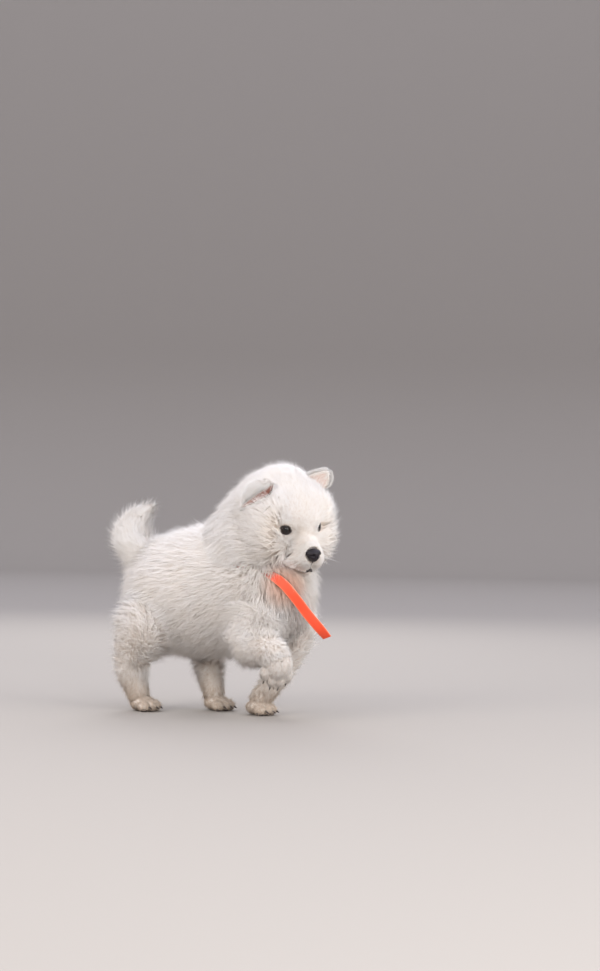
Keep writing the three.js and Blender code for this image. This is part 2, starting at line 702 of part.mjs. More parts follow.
// The coat's locks, part by part: rings of them at shares of the part's length. A root grows none
// where a neighbour's coat, up to a level, hides it.
const inLegs = (p, level) => legRuns.some((run) => run.holds(p, level));
function nearEar(p) {
  return [EARS.right, EARS.left].some(({ front, back, tip }) => {
    const root = vec(front).add(vec(back)).multiplyScalar(0.5);
    return fromHead(root.lerp(vec(tip), 0.5)).distanceTo(p) < EAR_CLEAR;
  });
}
const nearRibbon = (p) => RIBBON_END.some((place) => vec(place).distanceTo(p) < RIBBON_CLEAR);
const inCurl = (p) => vec(TAIL_CURL).distanceTo(p) < TAIL_CURL_CLEAR;
const onFace = (p) => head.coatAt(p) < LONG_COAT;
const COATS = {
  torso: {
    rows: [0.1, 0.26, 0.42, 0.58, 0.74, 0.9],
    count: 11,
    size: { length: 62, width: 48 },
    way: lies.torso,
    hidden: (p) => {
      const covered = inLegs(p, 0.6) || neck.holds(p, 0.6) || head.holds(p, 0.6) || tail.holds(p, 0.5);
      return covered || nearRibbon(p);
    },
  },
  neck: {
    rows: [0.48, 0.66, 0.84],
    count: 9,
    size: { length: 50, width: 42 },
    way: lies.neck,
    hidden: (p) => torso.holds(p, 0.95) || head.holds(p, 0.7) || nearRibbon(p),
  },
  // The collar of locks hangs over the ribbon's band.
  collar: {
    rows: [0.36],
    count: 13,
    size: { length: 46, width: 36 },
    way: lies.neck,
    hidden: (p) => head.holds(p, 0.9) || nearRibbon(p),
  },
  head: {
    rows: [0.38, 0.5, 0.62, 0.74, 0.86],
    count: 12,
    size: { length: 40, width: 34 },
    way: lies.head,
    hidden: (p) => onFace(p) || nearEar(p) || neck.holds(p, 0.7) || torso.holds(p, 0.7),
  },
  tail: {
    rows: [0.2, 0.4, 0.6],
    count: 6,
    size: { length: 44, width: 30 },
    way: lies.tail,
    hidden: (p) => torso.holds(p, 0.7) || inCurl(p),
  },
};
function legCoat(run) {
  const others = legRuns.filter((other) => other !== run);
  return {
    rows: [0.2, 0.44],
    count: 5,
    size: { length: 40, width: 28 },
    way: lies.leg,
    hidden: (p) => torso.holds(p, 0.95) || others.some((other) => other.holds(p, 0.8)),
  };
}
const locks = [
  ...coat(torso, COATS.torso, SEED),
  ...coat(neck, COATS.neck, SEED + 1),
  ...coat(neck, COATS.collar, SEED + 9),
  ...coat(head, COATS.head, SEED + 2),
  ...coat(tail, COATS.tail, SEED + 3),
  ...legRuns.flatMap((run, i) => coat(run, legCoat(run), SEED + 4 + i)),
];

// Flesh, core and locks in one, which is then parted with thin cuts.
const eyes = { right: eyeParts(-1), left: eyeParts(1) };
const faceCuts = [eyes.right, eyes.left].flatMap(({ opening, socket }) => [opening, socket]);
const floorCut = solidOf(new THREE.BoxGeometry(900, 900, 60).translate(0, 0, -30));
const body = joined([
  torso.solid(CORE_SHARE, 16, 10),
  neck.solid(CORE_SHARE, 12, 7),
  tail.solid(CORE_SHARE, 8, 8),
  head.solid(30, 20),
  ...legRuns.map((run) => run.solid(CORE_SHARE, 10, 8)),
  ...Object.values(PAWS).map(paw),
  eyes.right.lids,
  eyes.left.lids,
  ...locks,
]);
const whole = carved(body, [floorCut, mouthLine(), ...faceCuts]);

const puppy = new THREE.Group();
function addNode(name, solid, finish) {
  const geometry = outerShell(solid);
  geometry.computeVertexNormals();
  const [color, roughness] = FINISHES[finish];
  const material = new THREE.MeshStandardMaterial({ color, roughness, metalness: 0 });
  const mesh = new THREE.Mesh(geometry, material);
  mesh.name = name;
  puppy.add(mesh);
}

// Each zone takes its share in turn: head, neck, tail, legs and paws, and the torso is what is left.
const organs = [nose(GAP), grown(ear(EARS.right), 2 * GAP), grown(ear(EARS.left), 2 * GAP)];
const ribbonRoom = [ribbonBand(GAP), ribbonEnd(GAP)];
const headCuts = [...organs, ...ribbonRoom];
addNode("head", carved(whole.intersect(headZone(0)), headCuts), "coat");
addNode("neck", carved(whole.intersect(neckZone(0)), [headZone(GAP), ...headCuts]), "coat");
addNode("tail", whole.intersect(tailZone(0)), "coat");
for (const name of Object.keys(LEGS)) {
  const others = [headZone(GAP), neckZone(GAP), pawZone(name, GAP), ...ribbonRoom];
  addNode(`leg_${name}`, carved(whole.intersect(legZone(name, 0)), others), "coat");
  addNode(`paw_${name}`, whole.intersect(pawZone(name, 0)), "coat");
}
const limbZones = Object.keys(LEGS).flatMap((name) => [legZone(name, GAP), pawZone(name, GAP)]);
const torsoCuts = [headZone(GAP), neckZone(GAP), tailZone(GAP), ...limbZones, ...ribbonRoom];
addNode("torso", carved(whole, torsoCuts), "coat");
addNode("nose", nose(0), "nose");
addNode("ear_right", ear(EARS.right), "ear");
addNode("ear_left", ear(EARS.left), "ear");
addNode("eye_right", eyes.right.ball, "eye");
addNode("eye_left", eyes.left.ball, "eye");
addNode("ribbon_band", ribbonBand(0), "ribbon");
addNode("ribbon_end", ribbonEnd(0), "ribbon");

const middle = new THREE.Box3().setFromObject(puppy, true).getCenter(new THREE.Vector3());
puppy.position.set(-middle.x, -middle.y, 0);

export default puppy;
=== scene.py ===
"""A Samoyed puppy at its trot, in its coat: skin, fur, eyes, nose, ears, claws and a ribbon.

Every form is worked out in the puppy's own frame, in millimetres, +X the way it heads, +Y to its
left and +Z up, and is set into the row frame, in metres, by `placed`. A limb, the head, a paw and
an ear each give a point of their surface from two parameters u and v and a level, which is 0 on the
skin and 1 at the tips of the coat, so that the fur ends on one true outline.
"""

import math
from collections import namedtuple

import bpy
import numpy as np
from mathutils import Matrix, Vector


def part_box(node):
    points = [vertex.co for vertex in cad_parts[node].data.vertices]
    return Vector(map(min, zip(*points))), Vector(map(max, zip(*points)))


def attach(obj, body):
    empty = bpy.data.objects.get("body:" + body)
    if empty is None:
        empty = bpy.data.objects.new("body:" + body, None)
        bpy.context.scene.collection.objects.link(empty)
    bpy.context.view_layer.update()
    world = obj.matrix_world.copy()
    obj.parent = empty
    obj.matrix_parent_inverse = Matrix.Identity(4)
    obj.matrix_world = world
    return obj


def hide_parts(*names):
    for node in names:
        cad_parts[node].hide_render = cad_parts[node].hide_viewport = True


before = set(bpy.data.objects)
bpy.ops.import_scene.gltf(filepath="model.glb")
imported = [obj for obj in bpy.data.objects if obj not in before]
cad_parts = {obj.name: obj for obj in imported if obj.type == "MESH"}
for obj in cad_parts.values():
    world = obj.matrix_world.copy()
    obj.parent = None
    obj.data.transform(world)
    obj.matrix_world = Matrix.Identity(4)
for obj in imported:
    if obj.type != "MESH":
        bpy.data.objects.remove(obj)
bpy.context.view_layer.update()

SEED = 11
FINE = 1.0

# The body's sizes. Each station of a limb: x, y, z of its middle, half width across, half width in
# the plane of its bend, both out to the tips of the coat, and the coat's depth.
TORSO = [
    [-149, 0, 138, 52, 64, 24],
    [-78, 0, 147, 66, 83, 26],
    [-10, 0, 153, 68, 90, 27],
    [55, 0, 157, 68, 92, 28],
    [122, 0, 147, 54, 60, 28],
]
NECK = [
    [18, 0, 168, 62, 62, 28],
    [32, -2, 212, 63, 63, 28],
    [46, -4, 251, 49, 49, 24],
    [59, -5, 290, 34, 34, 17],
]
TAIL = [
    [-98, 0, 174, 17, 17, 9],
    [-127, 0, 196, 28, 29, 20],
    [-143, 0, 220, 31, 32, 24],
    [-136, 0, 241, 21, 21, 16],
    [-112, 0, 259, 6, 6, 3],
]
TAIL_CURL = [-100, 0, 212]  # what the tail curls round
LEGS = {
    "hind_right": [
        [-96, -37, 150, 29, 46, 18],
        [-98, -43, 100, 30, 46, 19],
        [-116, -41, 56, 22, 28, 12],
        [-108, -37, 26, 16, 18, 6],
        [-103, -36, 9, 13, 14, 5],
    ],
    "hind_left": [
        [-84, 37, 150, 29, 43, 18],
        [-58, 41, 100, 28, 38, 17],
        [-46, 34, 58, 21, 26, 11],
        [-37, 29, 28, 16, 18, 6],
        [-31, 27, 9, 13, 14, 5],
    ],
    "front_left": [
        [84, 36, 142, 27, 36, 18],
        [76, 35, 94, 25, 30, 14],
        [58, 24, 46, 18, 20, 8],
        [43, 15, 22, 15, 16, 5],
        [37, 12, 9, 13, 14, 5],
    ],
    "upper_arm": [
        [74, -36, 142, 27, 36, 18],
        [58, -41, 112, 28, 36, 18],
        [42, -44, 84, 25, 27, 14],
    ],
    "forearm": [
        [40, -44, 90, 26, 29, 15],
        [68, -48, 88, 26, 28, 13],
        [90, -50, 81, 22, 23, 9],
        [99, -50, 68, 17, 18, 6],
    ],
}
# Each paw: the middle of the pad, the way that the toes point, and the way that its back faces.
PAWS = {
    "hind_right": ([-98, -36, 9.5], [1, 0, 0], [0, 0, 1]),
    "hind_left": ([-27, 26, 9.5], [1, 0, 0], [0, 0, 1]),
    "front_left": ([42, 11, 9.5], [1, 0, 0], [0, 0, 1]),
    "front_right": ([101, -51, 66], [-0.12, -0.05, -1], [0.7, -0.7, -0.05]),
}
PAD_HALF = [18, 16.5, 11.5]
TOE_HALF = [10, 6.4, 8]
TOE_DROP = -2.6
TOE_PLACES = [[7, -12], [12.5, -4.3], [12.5, 4.3], [7, 12]]
PAW_COAT = 3.2
RAISED_SIZE = 1.16  # the raised paw is spread, and nearer to its full size than those that bear weight
FLOOR_CLEAR = 0.6  # nothing of the coat comes nearer to the floor

# The head, in its own frame: +X to the nose, +Y left, +Z up, from the middle of the skull.
HEAD_CENTRE = [82, -4, 249]
HEAD_TURN = (5, 12, -25)  # degrees: roll, pitch and yaw
HEAD_HUB = [8, 0, -18]
SKULL = ([-4, 0, 5], [46, 46, 43])
BROW = ([18, 0, -1], [23, 31, 23])
CHEEK = ([8, 27, -26], [27, 20, 24])
LIP = ([45, 8.5, -44], [15, 10.5, 11])
BRIDGE = ([22, 0, -24], 16, [53, 0, -34], 10.5)
JAW = ([20, 0, -44], 14, [47, 0, -56], 7)
SOFT = 12
FACE_COAT, CHEEK_COAT, CROWN_COAT = 2.4, 20.5, 14
FACE_FRONT, FACE_BACK, FACE_SIDE = 40, 2, 18
SIDE_LEAD = 0.9  # how far forward the long coat comes for each millimetre out past FACE_SIDE
CROWN_LOW, CROWN_HIGH = 6, 36  # the heights between which the cheeks' coat becomes the crown's
JOWL_COAT, JOWL_FROM, JOWL_TO = 4, 25, 45  # what the widest part of the cheeks adds, and where
# Where the head's coat is longer or shorter: the place, by how much, and how far round.
HEAD_SWELLS = [([36, 26, -34], 4, 15), ([32, 24, -52], 7, 17), ([10, 31, 48], -10, 19)]

EYE_AT, EYE_RADIUS, EYE_OUTWARD = [29.5, 21.5, -10], 9, 28
EYE_FRONT = [37.5, 25.7, -10]  # the middle of the opening, in front of the ball
EYE_OPEN = [7.4, 4.9]  # half width and half height of the opening
NOSE_AT, NOSE_HALF = [61.5, 0, -36], [9, 10, 9.3]
MOUTH = [[30, 24, -50], [47.5, 9.5, -57.5], [54, 5, -58.8], [57, 0, -56.8]]  # one side, corner to front
MOUTH_MIDDLE = [34, 0, -48]  # what the lips stand out from
MOUTH_DEEP, MOUTH_SPREAD = 1.4, 1.6  # how far the skin draws in along it, and over what distance
CLEFT = [[61.5, 0, -45.5], [58.8, 0, -51], [57.2, 0, -56.5]]  # from under the nose to the lips
LIP_STEPS = 120
LIP_SHOWS = 18  # of those steps, the ones hidden by hair at either corner
# Each ear: both ends of its root and its tip, and how deep its cup is.
EARS = {
    "ear_right": ([14.8, -38.5, 40.9], [16, -47.5, 27.5], [-2.3, -62.8, 13.8], 4),
    "ear_left": ([-5, 25, 40], [15, 45, 33], [12.5, 48, 52], 4),
}
EAR_THICK, EAR_SUNK = 2.4, 6
EAR_CLEAR = 4.8  # few hairs of the head come nearer to the middle line of the near ear's cup
EAR_LIGHT = [0.3, -0.3, 0.8]  # the way out that an ear's hair takes for its shading: up, and to the front
# The near ear's back, folded over its cup: a furred roll, as the stations of a limb.
EAR_ROLL = [
    [18, -33, 44, 2, 2, 1.5],
    [9.5, -44, 43.5, 7.5, 7.5, 4],
    [1.5, -52, 37, 8, 8, 4],
    [-3, -58, 27, 6, 6, 4],
    [-4, -61, 20, 2.5, 2.5, 2],
]

RIBBON_WIDE, RIBBON_THICK = 12, 0.6
BAND_STATION, BAND_LEVEL = 0.22, 0.22  # how far up the neck the band lies, and its level in the coat
BAND_DROOP = 12  # how much lower it hangs in front
RIBBON_END = [
    [70, -31, 178],
    [86, -41, 174],
    [101, -40, 164],
    [115, -33, 146],
    [124, -22, 129],
    [132, -8, 113],
    [138, 4, 100],
]
RIBBON_FACE = [0.47, -0.88, 0]  # the way that its broad side turns
RIBBON_TWIST = [-60, -12, 4, -6, 34]  # degrees about its length, from the throat to its end
RIBBON_FREE = 0.27  # the share of it, from the throat, that the coat may cover
RIBBON_CLEAR = 5.5  # no tuft comes nearer to the loose end's middle line


# Numbers and vectors


def unit(a):
    """Each vector over its own length."""
    return a / np.maximum(np.linalg.norm(a, axis=-1, keepdims=True), 1e-9)


def dot(a, b):
    """The dot product of matching rows, kept as a column."""
    return np.sum(a * b, axis=-1, keepdims=True)


def smooth(x):
    """An even step from 0 to 1: 3 x squared less 2 x cubed."""
    x = np.clip(x, 0, 1)
    return x * x * (3 - 2 * x)


def rising(x, start, end):
    """A smooth step of x, from 0 at the start to 1 at the end, which may be the lower of the two."""
    return smooth((x - start) / (end - start))


def mix(a, b, t):
    """a at t = 0 and b at t = 1."""
    return a + (b - a) * t


def turns(sides):
    """The angles of even steps round a circle."""
    return 2 * np.pi * np.arange(sides) / sides


def rays(polar, turn):
    """Unit vectors at a polar angle from +X, and at a turn round it."""
    return np.stack([np.cos(polar), np.sin(polar) * np.cos(turn), np.sin(polar) * np.sin(turn)], -1)


def sided(p, side):
    """A place of the head's left half, or its mirror image on the right where side is -1."""
    return np.array(p, float) * [1, side, 1]


def on_left(p):
    """Places in the head's frame, with those of its right half mirrored onto its left."""
    return p * [1, 0, 1] + np.abs(p) * [0, 1, 0]


def along(values, t):
    """A Catmull-Rom curve through evenly spaced rows of values, at each t from 0 to 1."""
    values = np.asarray(values, float)
    t = np.asarray(t, float)
    place = np.clip(t, 0, 1) * (len(values) - 1)
    i = np.minimum(place.astype(int), len(values) - 2)
    f = (place - i)[..., None]
    a, b, c, d = (values[np.clip(i + k, 0, len(values) - 1)] for k in (-1, 0, 1, 2))
    bend = 2 * a - 5 * b + 4 * c - d + f * (3 * (b - c) + d - a)
    return b + 0.5 * f * (c - a + f * bend)


def melt(a, b, soft):
    """The lesser of two distances, rounded off where they are within `soft` of each other."""
    near = np.maximum(soft - np.abs(a - b), 0) / soft
    return np.minimum(a, b) - near * near * soft * 0.25


def turned(degrees):
    """The matrix that rolls, pitches and then yaws by these angles."""
    roll, pitch, yaw = np.radians(degrees)
    about_x = [[1, 0, 0], [0, math.cos(roll), -math.sin(roll)], [0, math.sin(roll), math.cos(roll)]]
    about_y = [[math.cos(pitch), 0, math.sin(pitch)], [0, 1, 0], [-math.sin(pitch), 0, math.cos(pitch)]]
    about_z = [[math.cos(yaw), -math.sin(yaw), 0], [math.sin(yaw), math.cos(yaw), 0], [0, 0, 1]]
    return np.array(about_z) @ np.array(about_y) @ np.array(about_x)


HEAD_MATRIX = turned(HEAD_TURN)


def from_head(p):
    """A place in the head's frame, in the puppy's."""
    return np.asarray(p, float) @ HEAD_MATRIX.T + HEAD_CENTRE


def to_head(p):
    """A place in the puppy's frame, in the head's."""
    return (np.asarray(p, float) - HEAD_CENTRE) @ HEAD_MATRIX


def offset_of_the_frame():
    """The row frame's middle, from where the solid of the right eye stands."""
    low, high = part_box("eye_right")
    return np.array((low + high) / 2) * 1000 - from_head(sided(EYE_AT, -1))


OFFSET = offset_of_the_frame()


def placed(p):
    """Places in the puppy's frame, in the row frame and in metres."""
    return (np.asarray(p, float) + OFFSET) / 1000


# Surfaces of the body


class Limb:
    """A tube along a curve through stations, oval in section, with a rounded cap at either end.

    u is a share of the way through the stations, and s the same between the poles of one level, which
    draw in by the coat's depth at level 0. `at` takes w, which slows down towards both poles:
    s = (1 - cos(pi w)) / 2.
    """

    LINE_POINTS = 17
    STEP = 0.02  # of u, to either side of a point, for its direction

    def __init__(self, stations, caps=(0.22, 0.12), blunt=2.4):
        self.stations = np.array(stations, float)
        self.caps = caps
        self.blunt = blunt
        self.line = along(self.stations[:, :3], np.linspace(0, 1, self.LINE_POINTS))
        self.length = np.sum(np.linalg.norm(np.diff(self.line, axis=0), axis=1))

    def frame(self, u):
        """The middle at u, and the unit vectors along, across and over the limb there."""
        middle = along(self.stations[:, :3], u)
        ahead = along(self.stations[:, :3], np.minimum(u + self.STEP, 1))
        behind = along(self.stations[:, :3], np.maximum(u - self.STEP, 0))
        forward = unit(ahead - behind)
        sideways = np.array([0.0, 1.0, 0.0])
        across = unit(sideways - forward * forward[..., 1:2])
        return middle, forward, across, np.cross(forward, across)

    def poles(self, level):
        """The u of both poles at a level: 0 and 1 at the tips, and further in on the skin."""
        first, last = self.stations[0, 5] / self.length, self.stations[-1, 5] / self.length
        return (1 - level) * first, 1 - (1 - level) * last

    def into_cap(self, s):
        """How far s is into the cap of either end: 0 before it, 1 at its pole and more beyond."""
        first, last = self.caps
        return np.maximum(np.maximum((first - s) / first, (s - 1 + last) / last), 0)

    def ring(self, u, v, level, s=None):
        """The point at u, v of a turn round it. Both half widths close to the poles as a superellipse."""
        middle, _, across, over = self.frame(u)
        sizes = along(self.stations[:, 3:], u)
        closing = np.minimum(self.into_cap(u if s is None else s), 1) ** self.blunt
        closing = (1 - closing) ** (1 / self.blunt)
        bare = (1 - level) * sizes[..., 2]
        turn = 2 * np.pi * v
        side = (sizes[..., 0] - bare) * closing * np.cos(turn)
        top = (sizes[..., 1] - bare) * closing * np.sin(turn)
        return middle + across * side[..., None] + over * top[..., None]

    def at(self, w, v, level):
        """The point at w along the limb and v of a turn round it."""
        s = 0.5 - 0.5 * np.cos(np.pi * w)
        first, last = self.poles(level)
        return self.ring(mix(first, last, s), v, level, s)

    def outer(self, p, level=1.0):
        """Near enough the distance from the coat at a level, below zero inside it."""
        gaps = np.sum(p * p, 1)[:, None] - 2 * p @ self.line.T + np.sum(self.line * self.line, 1)
        nearest_u = np.argmin(gaps, axis=1) / (len(self.line) - 1)
        middle, forward, _, _ = self.frame(nearest_u)
        u = nearest_u + np.sum((p - middle) * forward, axis=1) / self.length
        middle, _, across, over = self.frame(np.clip(u, 0, 1))
        sizes = along(self.stations[:, 3:], np.clip(u, 0, 1))
        half_side, half_top = (sizes[:, k] - (1 - level) * sizes[:, 2] for k in (0, 1))
        away = p - middle
        reach = np.hypot(np.sum(away * across, 1) / half_side, np.sum(away * over, 1) / half_top)
        first, last = self.poles(level)
        into = self.into_cap((u - first) / (last - first))
        reach = (reach**self.blunt + into**self.blunt) ** (1 / self.blunt)
        return (reach - 1) * np.minimum(half_side, half_top)

    def holds(self, p, level):
        """True where p lies inside the limb's coat at that level."""
        return self.outer(p, level) < 0

    def ball_round(self):
        """The middle and the radius of a ball that holds the whole limb."""
        middle = self.stations[:, :3].mean(0)
        return middle, np.max(np.linalg.norm(self.stations[:, :3] - middle, axis=1) + self.stations[:, 4])


class Head:
    """The head: where rays from its hub leave rounded forms that melt into one another."""

    BEYOND, HALVINGS = 130.0, 18  # a length that is sure to be outside, and how often a ray is halved

    def field(self, p):
        """Distance from the bare head, below zero inside, for places in the head's frame."""
        half = on_left(p)
        d = melt(self.ball(half, *SKULL), self.ball(half, *BROW), SOFT)
        d = melt(d, self.ball(half, *CHEEK), SOFT)
        d = melt(d, self.cone(half, *BRIDGE), SOFT)
        d = melt(d, self.cone(half, *JAW), SOFT * 0.6)
        return melt(d, self.ball(half, *LIP), SOFT * 0.5)

    @staticmethod
    def ball(p, at, half):
        """Near enough the distance from an ellipsoid."""
        q = p - at
        k0 = np.linalg.norm(q / half, axis=-1)
        k1 = np.linalg.norm(q / np.square(half), axis=-1)
        return k0 * (k0 - 1) / np.maximum(k1, 1e-9)

    @staticmethod
    def cone(p, start, wide, end, narrow):
        """The distance from a round bar that tapers between its ends."""
        axis = np.subtract(end, start)
        away = p - start
        t = np.clip(away @ axis / (axis @ axis), 0, 1)
        return np.linalg.norm(away - t[..., None] * axis, axis=-1) - mix(wide, narrow, t)

    def depth(self, p):
        """The coat's depth: short on the face, longest on the cheeks and over the skull, and longer or
        shorter by a bell curve round each of the head's swells."""
        half = on_left(p)
        side = half[..., 1]
        back = p[..., 0] - SIDE_LEAD * np.maximum(side - FACE_SIDE, 0)
        full = mix(CHEEK_COAT, CROWN_COAT, rising(p[..., 2], CROWN_LOW, CROWN_HIGH))
        full = full + JOWL_COAT * rising(side, JOWL_FROM, JOWL_TO)
        coat = mix(FACE_COAT, full, rising(back, FACE_FRONT, FACE_BACK))
        for at, more, reach in HEAD_SWELLS:
            coat = coat + more * np.exp(-np.sum(np.square(half - at), -1) / reach**2)
        return np.maximum(coat, 1)

    def at(self, u, v, level):
        """u runs from the nose, 0, to the nape, 1, and v goes round. The ray's length is halved in on."""
        ray = rays(np.pi * u, 2 * np.pi * v)
        inside, outside = np.zeros(ray.shape[:-1]), np.full(ray.shape[:-1], self.BEYOND)
        for _ in range(self.HALVINGS):
            half = (inside + outside) / 2
            within = self.field(HEAD_HUB + ray * half[..., None]) < 0
            inside, outside = np.where(within, half, inside), np.where(within, outside, half)
        coat = self.depth(HEAD_HUB + ray * inside[..., None])
        return from_head(HEAD_HUB + ray * (inside + level * coat)[..., None])

    def outer(self, p, level=1.0):
        """Near enough the distance from the coat at a level, below zero inside it."""
        q = to_head(p)
        return self.field(q) - level * self.depth(q)

    def holds(self, p, level):
        """True where p lies inside the head's coat at that level."""
        return self.outer(p, level) < 0

    @staticmethod
    def ball_round():
        """The middle and the radius of a ball that holds the whole head."""
        return from_head([4, 0, -4]), 92


class Ball:
    """A turned ellipsoid under a short coat: half sizes out to the tips, and the coat's depth."""

    def __init__(self, at, half, turn, coat):
        self.middle, self.half = np.array(at), np.array(half, float)
        self.turn, self.coat = turn, coat

    def at(self, u, v, level):
        """u runs from its front, 0, to its back, 1, and v goes round."""
        ray = rays(np.pi * u, 2 * np.pi * v)
        bare = np.asarray((1 - level) * self.coat)[..., None]
        return self.middle + (ray * (self.half - bare)) @ self.turn.T

    def outer(self, p, level=1.0):
        """Near enough the distance from the coat at a level, below zero inside it."""
        half = self.half - (1 - level) * self.coat
        return (np.linalg.norm((p - self.middle) @ self.turn / half, axis=-1) - 1) * min(half)

    def holds(self, p, level):
        """True where p lies inside it at that level."""
        return self.outer(p, level) < 0


def paw_frame(toes, back):
    """The columns forward, across and up of a paw that points and faces so."""
    forward, up = unit(np.array(toes, float)), unit(np.array(back, float))
    across = unit(np.cross(up, forward))
    return np.stack([forward, across, np.cross(forward, across)], 1)


def paw_size(name):
    """How much larger than the sizes above a paw is."""
    return RAISED_SIZE if name == "front_right" else 1.0


def paw_balls(name):
    """The pad and the four toes of a paw."""
    at, toes, back = PAWS[name]
    turn, size = paw_frame(toes, back), paw_size(name)
    balls = [Ball(np.array(at) + turn @ [-2, 0, 0], size * np.array(PAD_HALF), turn, PAW_COAT)]
    for x, y in TOE_PLACES:
        place = np.array(at) + turn @ [size * x, size * y, size * TOE_DROP]
        balls.append(Ball(place, size * np.array(TOE_HALF), turn, PAW_COAT * 0.6))
    return balls


torso = Limb(TORSO, (0.3, 0.32))
neck = Limb(NECK, (0.35, 0.35))
tail = Limb(TAIL, (0.2, 0.35))
legs = {name: Limb(stations) for name, stations in LEGS.items()}
head = Head()
paws = {name: paw_balls(name) for name in PAWS}

# How far round a join the outer coat of one form runs into the next
NECK_MELT, HEAD_MELT, TAIL_MELT, LEG_MELT, RAISED_MELT = 44, 34, 20, 38, 50
MOST_MELT = 2.5


def outline(p):
    """The distance from the whole coat, whose forms melt into one another, by no more than MOST_MELT."""
    melts = [(neck, NECK_MELT), (head, HEAD_MELT), (tail, TAIL_MELT)]
    melts += [(leg, RAISED_MELT if "arm" in name else LEG_MELT) for name, leg in legs.items()]
    plain = torso.outer(p)
    d = plain.copy()
    for form, soft in melts:
        middle, radius = form.ball_round()
        near = np.linalg.norm(p - middle, axis=1) < radius + soft
        own = form.outer(p[near])
        d[near] = melt(d[near], own, soft)
        plain[near] = np.minimum(plain[near], own)
    return np.maximum(d, plain - MOST_MELT)


def slope_of(field, p, step=0.5):
    """The unit vector up the slope of a field, and the field itself."""
    here = field(p)
    return unit(np.stack([field(p + step * axis) - here for axis in np.eye(3)], 1)), here


def settled(field, p, depth, most):
    """Places moved along the slope of a field to lie `depth` inside it, but out by no more than `most`.

    Returns them with the slope there, which is the way out of the whole body.
    """
    p = p.copy()
    for _ in range(2):
        slope, here = slope_of(field, p, 2.0)
        move = np.maximum(-depth - here, -30)
        p += slope * np.minimum(move, most)[:, None]
    return p, slope


# Meshes from arrays


def mesh_piece(name, points, faces, finish):
    """An object of the named mesh, with its place in its mesh, that rides on the body."""
    mesh = bpy.data.meshes.new(name)
    faces = np.asarray(faces)
    mesh.vertices.add(len(points))
    mesh.vertices.foreach_set("co", np.asarray(points, np.float32).ravel())
    mesh.loops.add(faces.size)
    mesh.loops.foreach_set("vertex_index", faces.ravel().astype(np.int32))
    mesh.polygons.add(len(faces))
    mesh.polygons.foreach_set("loop_start", np.arange(0, faces.size, faces.shape[1], dtype=np.int32))
    mesh.update(calc_edges=True)
    mesh.validate()
    mesh.shade_smooth()
    mesh.materials.append(finish)
    piece = bpy.data.objects.new(name, mesh)
    bpy.context.scene.collection.objects.link(piece)
    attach(piece, "root")
    return piece


def add_map(piece, name, corners):
    """A UV map that gives each vertex one place."""
    layer = piece.data.uv_layers.new(name=name)
    index = np.zeros(len(piece.data.loops), np.int32)
    piece.data.loops.foreach_get("vertex_index", index)
    layer.uv.foreach_set("vector", np.asarray(corners, np.float32)[index].ravel())


def quads(rows, sides, ring=False):
    """Quads over rows of points that close on themselves, and from the last row to the first in a ring."""
    i, j = np.meshgrid(np.arange(rows if ring else rows - 1), np.arange(sides), indexing="ij")
    k, after = (j + 1) % sides, (i + 1) % rows
    return np.stack([i * sides + j, i * sides + k, after * sides + k, after * sides + j], -1).reshape(-1, 4)


def outward_faces(points, faces):
    """The faces, turned round where they enclose a negative volume."""
    a, b, c = (points[faces[:, k]] for k in (0, 1, 2))
    volume = np.sum(a * np.cross(b, c))
    if faces.shape[1] == 4:
        volume += np.sum(a * np.cross(c, points[faces[:, 3]]))
    return faces if volume > 0 else faces[:, ::-1]


def closed_rows(rows):
    """Triangles over rows of points that close on themselves, with a pole before and after them.

    The points come back flat as pole, rows, pole.
    """
    count, sides = rows.shape[:2]
    points = np.concatenate([rows[:1].mean(1), rows.reshape(-1, 3), rows[-1:].mean(1)])
    walls = 1 + quads(count, sides)
    j = np.arange(sides)
    k = (j + 1) % sides
    base = 1 + (count - 1) * sides
    first = np.stack([np.zeros(sides, int), 1 + k, 1 + j], 1)
    last = np.stack([base + j, base + k, np.full(sides, base + sides)], 1)
    faces = np.concatenate([first, walls[:, [0, 1, 2]], walls[:, [0, 2, 3]], last])
    return points, outward_faces(points, faces)


def gathered(shells):
    """Several closed shells as one list of points and one of faces."""
    points, faces, start = [], [], 0
    for p, f in shells:
        points.append(p)
        faces.append(f + start)
        start += len(p)
    return np.concatenate(points), np.concatenate(faces)


def surface_rows(surface, level, rows, sides):
    """Rows of points over a surface at one level, from just after one pole to just before the other."""
    u, v = np.meshgrid(np.arange(1, rows + 1) / (rows + 1), np.arange(sides) / sides, indexing="ij")
    return surface.at(u, v, level)


# Finishes


def link(tree, a, b):
    """Joins two sockets."""
    tree.links.new(a, b)


def new_node(tree, kind, **values):
    """A node of a kind, with values on its inputs by name and on its settings by name."""
    node = tree.nodes.new(kind)
    for key, value in values.items():
        if key in node.inputs:
            node.inputs[key].default_value = value
        else:
            setattr(node, key, value)
    return node


def finish(name, colour, roughness):
    """A plain material. Returns it with its tree and its Principled BSDF."""
    material = bpy.data.materials.new(name)
    material.use_nodes = True
    tree = material.node_tree
    shader = tree.nodes["Principled BSDF"]
    shader.inputs["Base Color"].default_value = (*colour, 1)
    shader.inputs["Roughness"].default_value = roughness
    return material, tree, shader


def object_place(tree):
    """The place on the object, in the row frame."""
    return tree.nodes.new("ShaderNodeTexCoord").outputs["Object"]


def map_place(tree, name):
    """The place on one of the piece's own UV maps."""
    return new_node(tree, "ShaderNodeUVMap", uv_map=name).outputs["UV"]


def parts_of(tree, vector):
    """The X, Y and Z of a vector, as sockets by name."""
    parts = tree.nodes.new("ShaderNodeSeparateXYZ")
    link(tree, vector, parts.inputs["Vector"])
    return parts.outputs


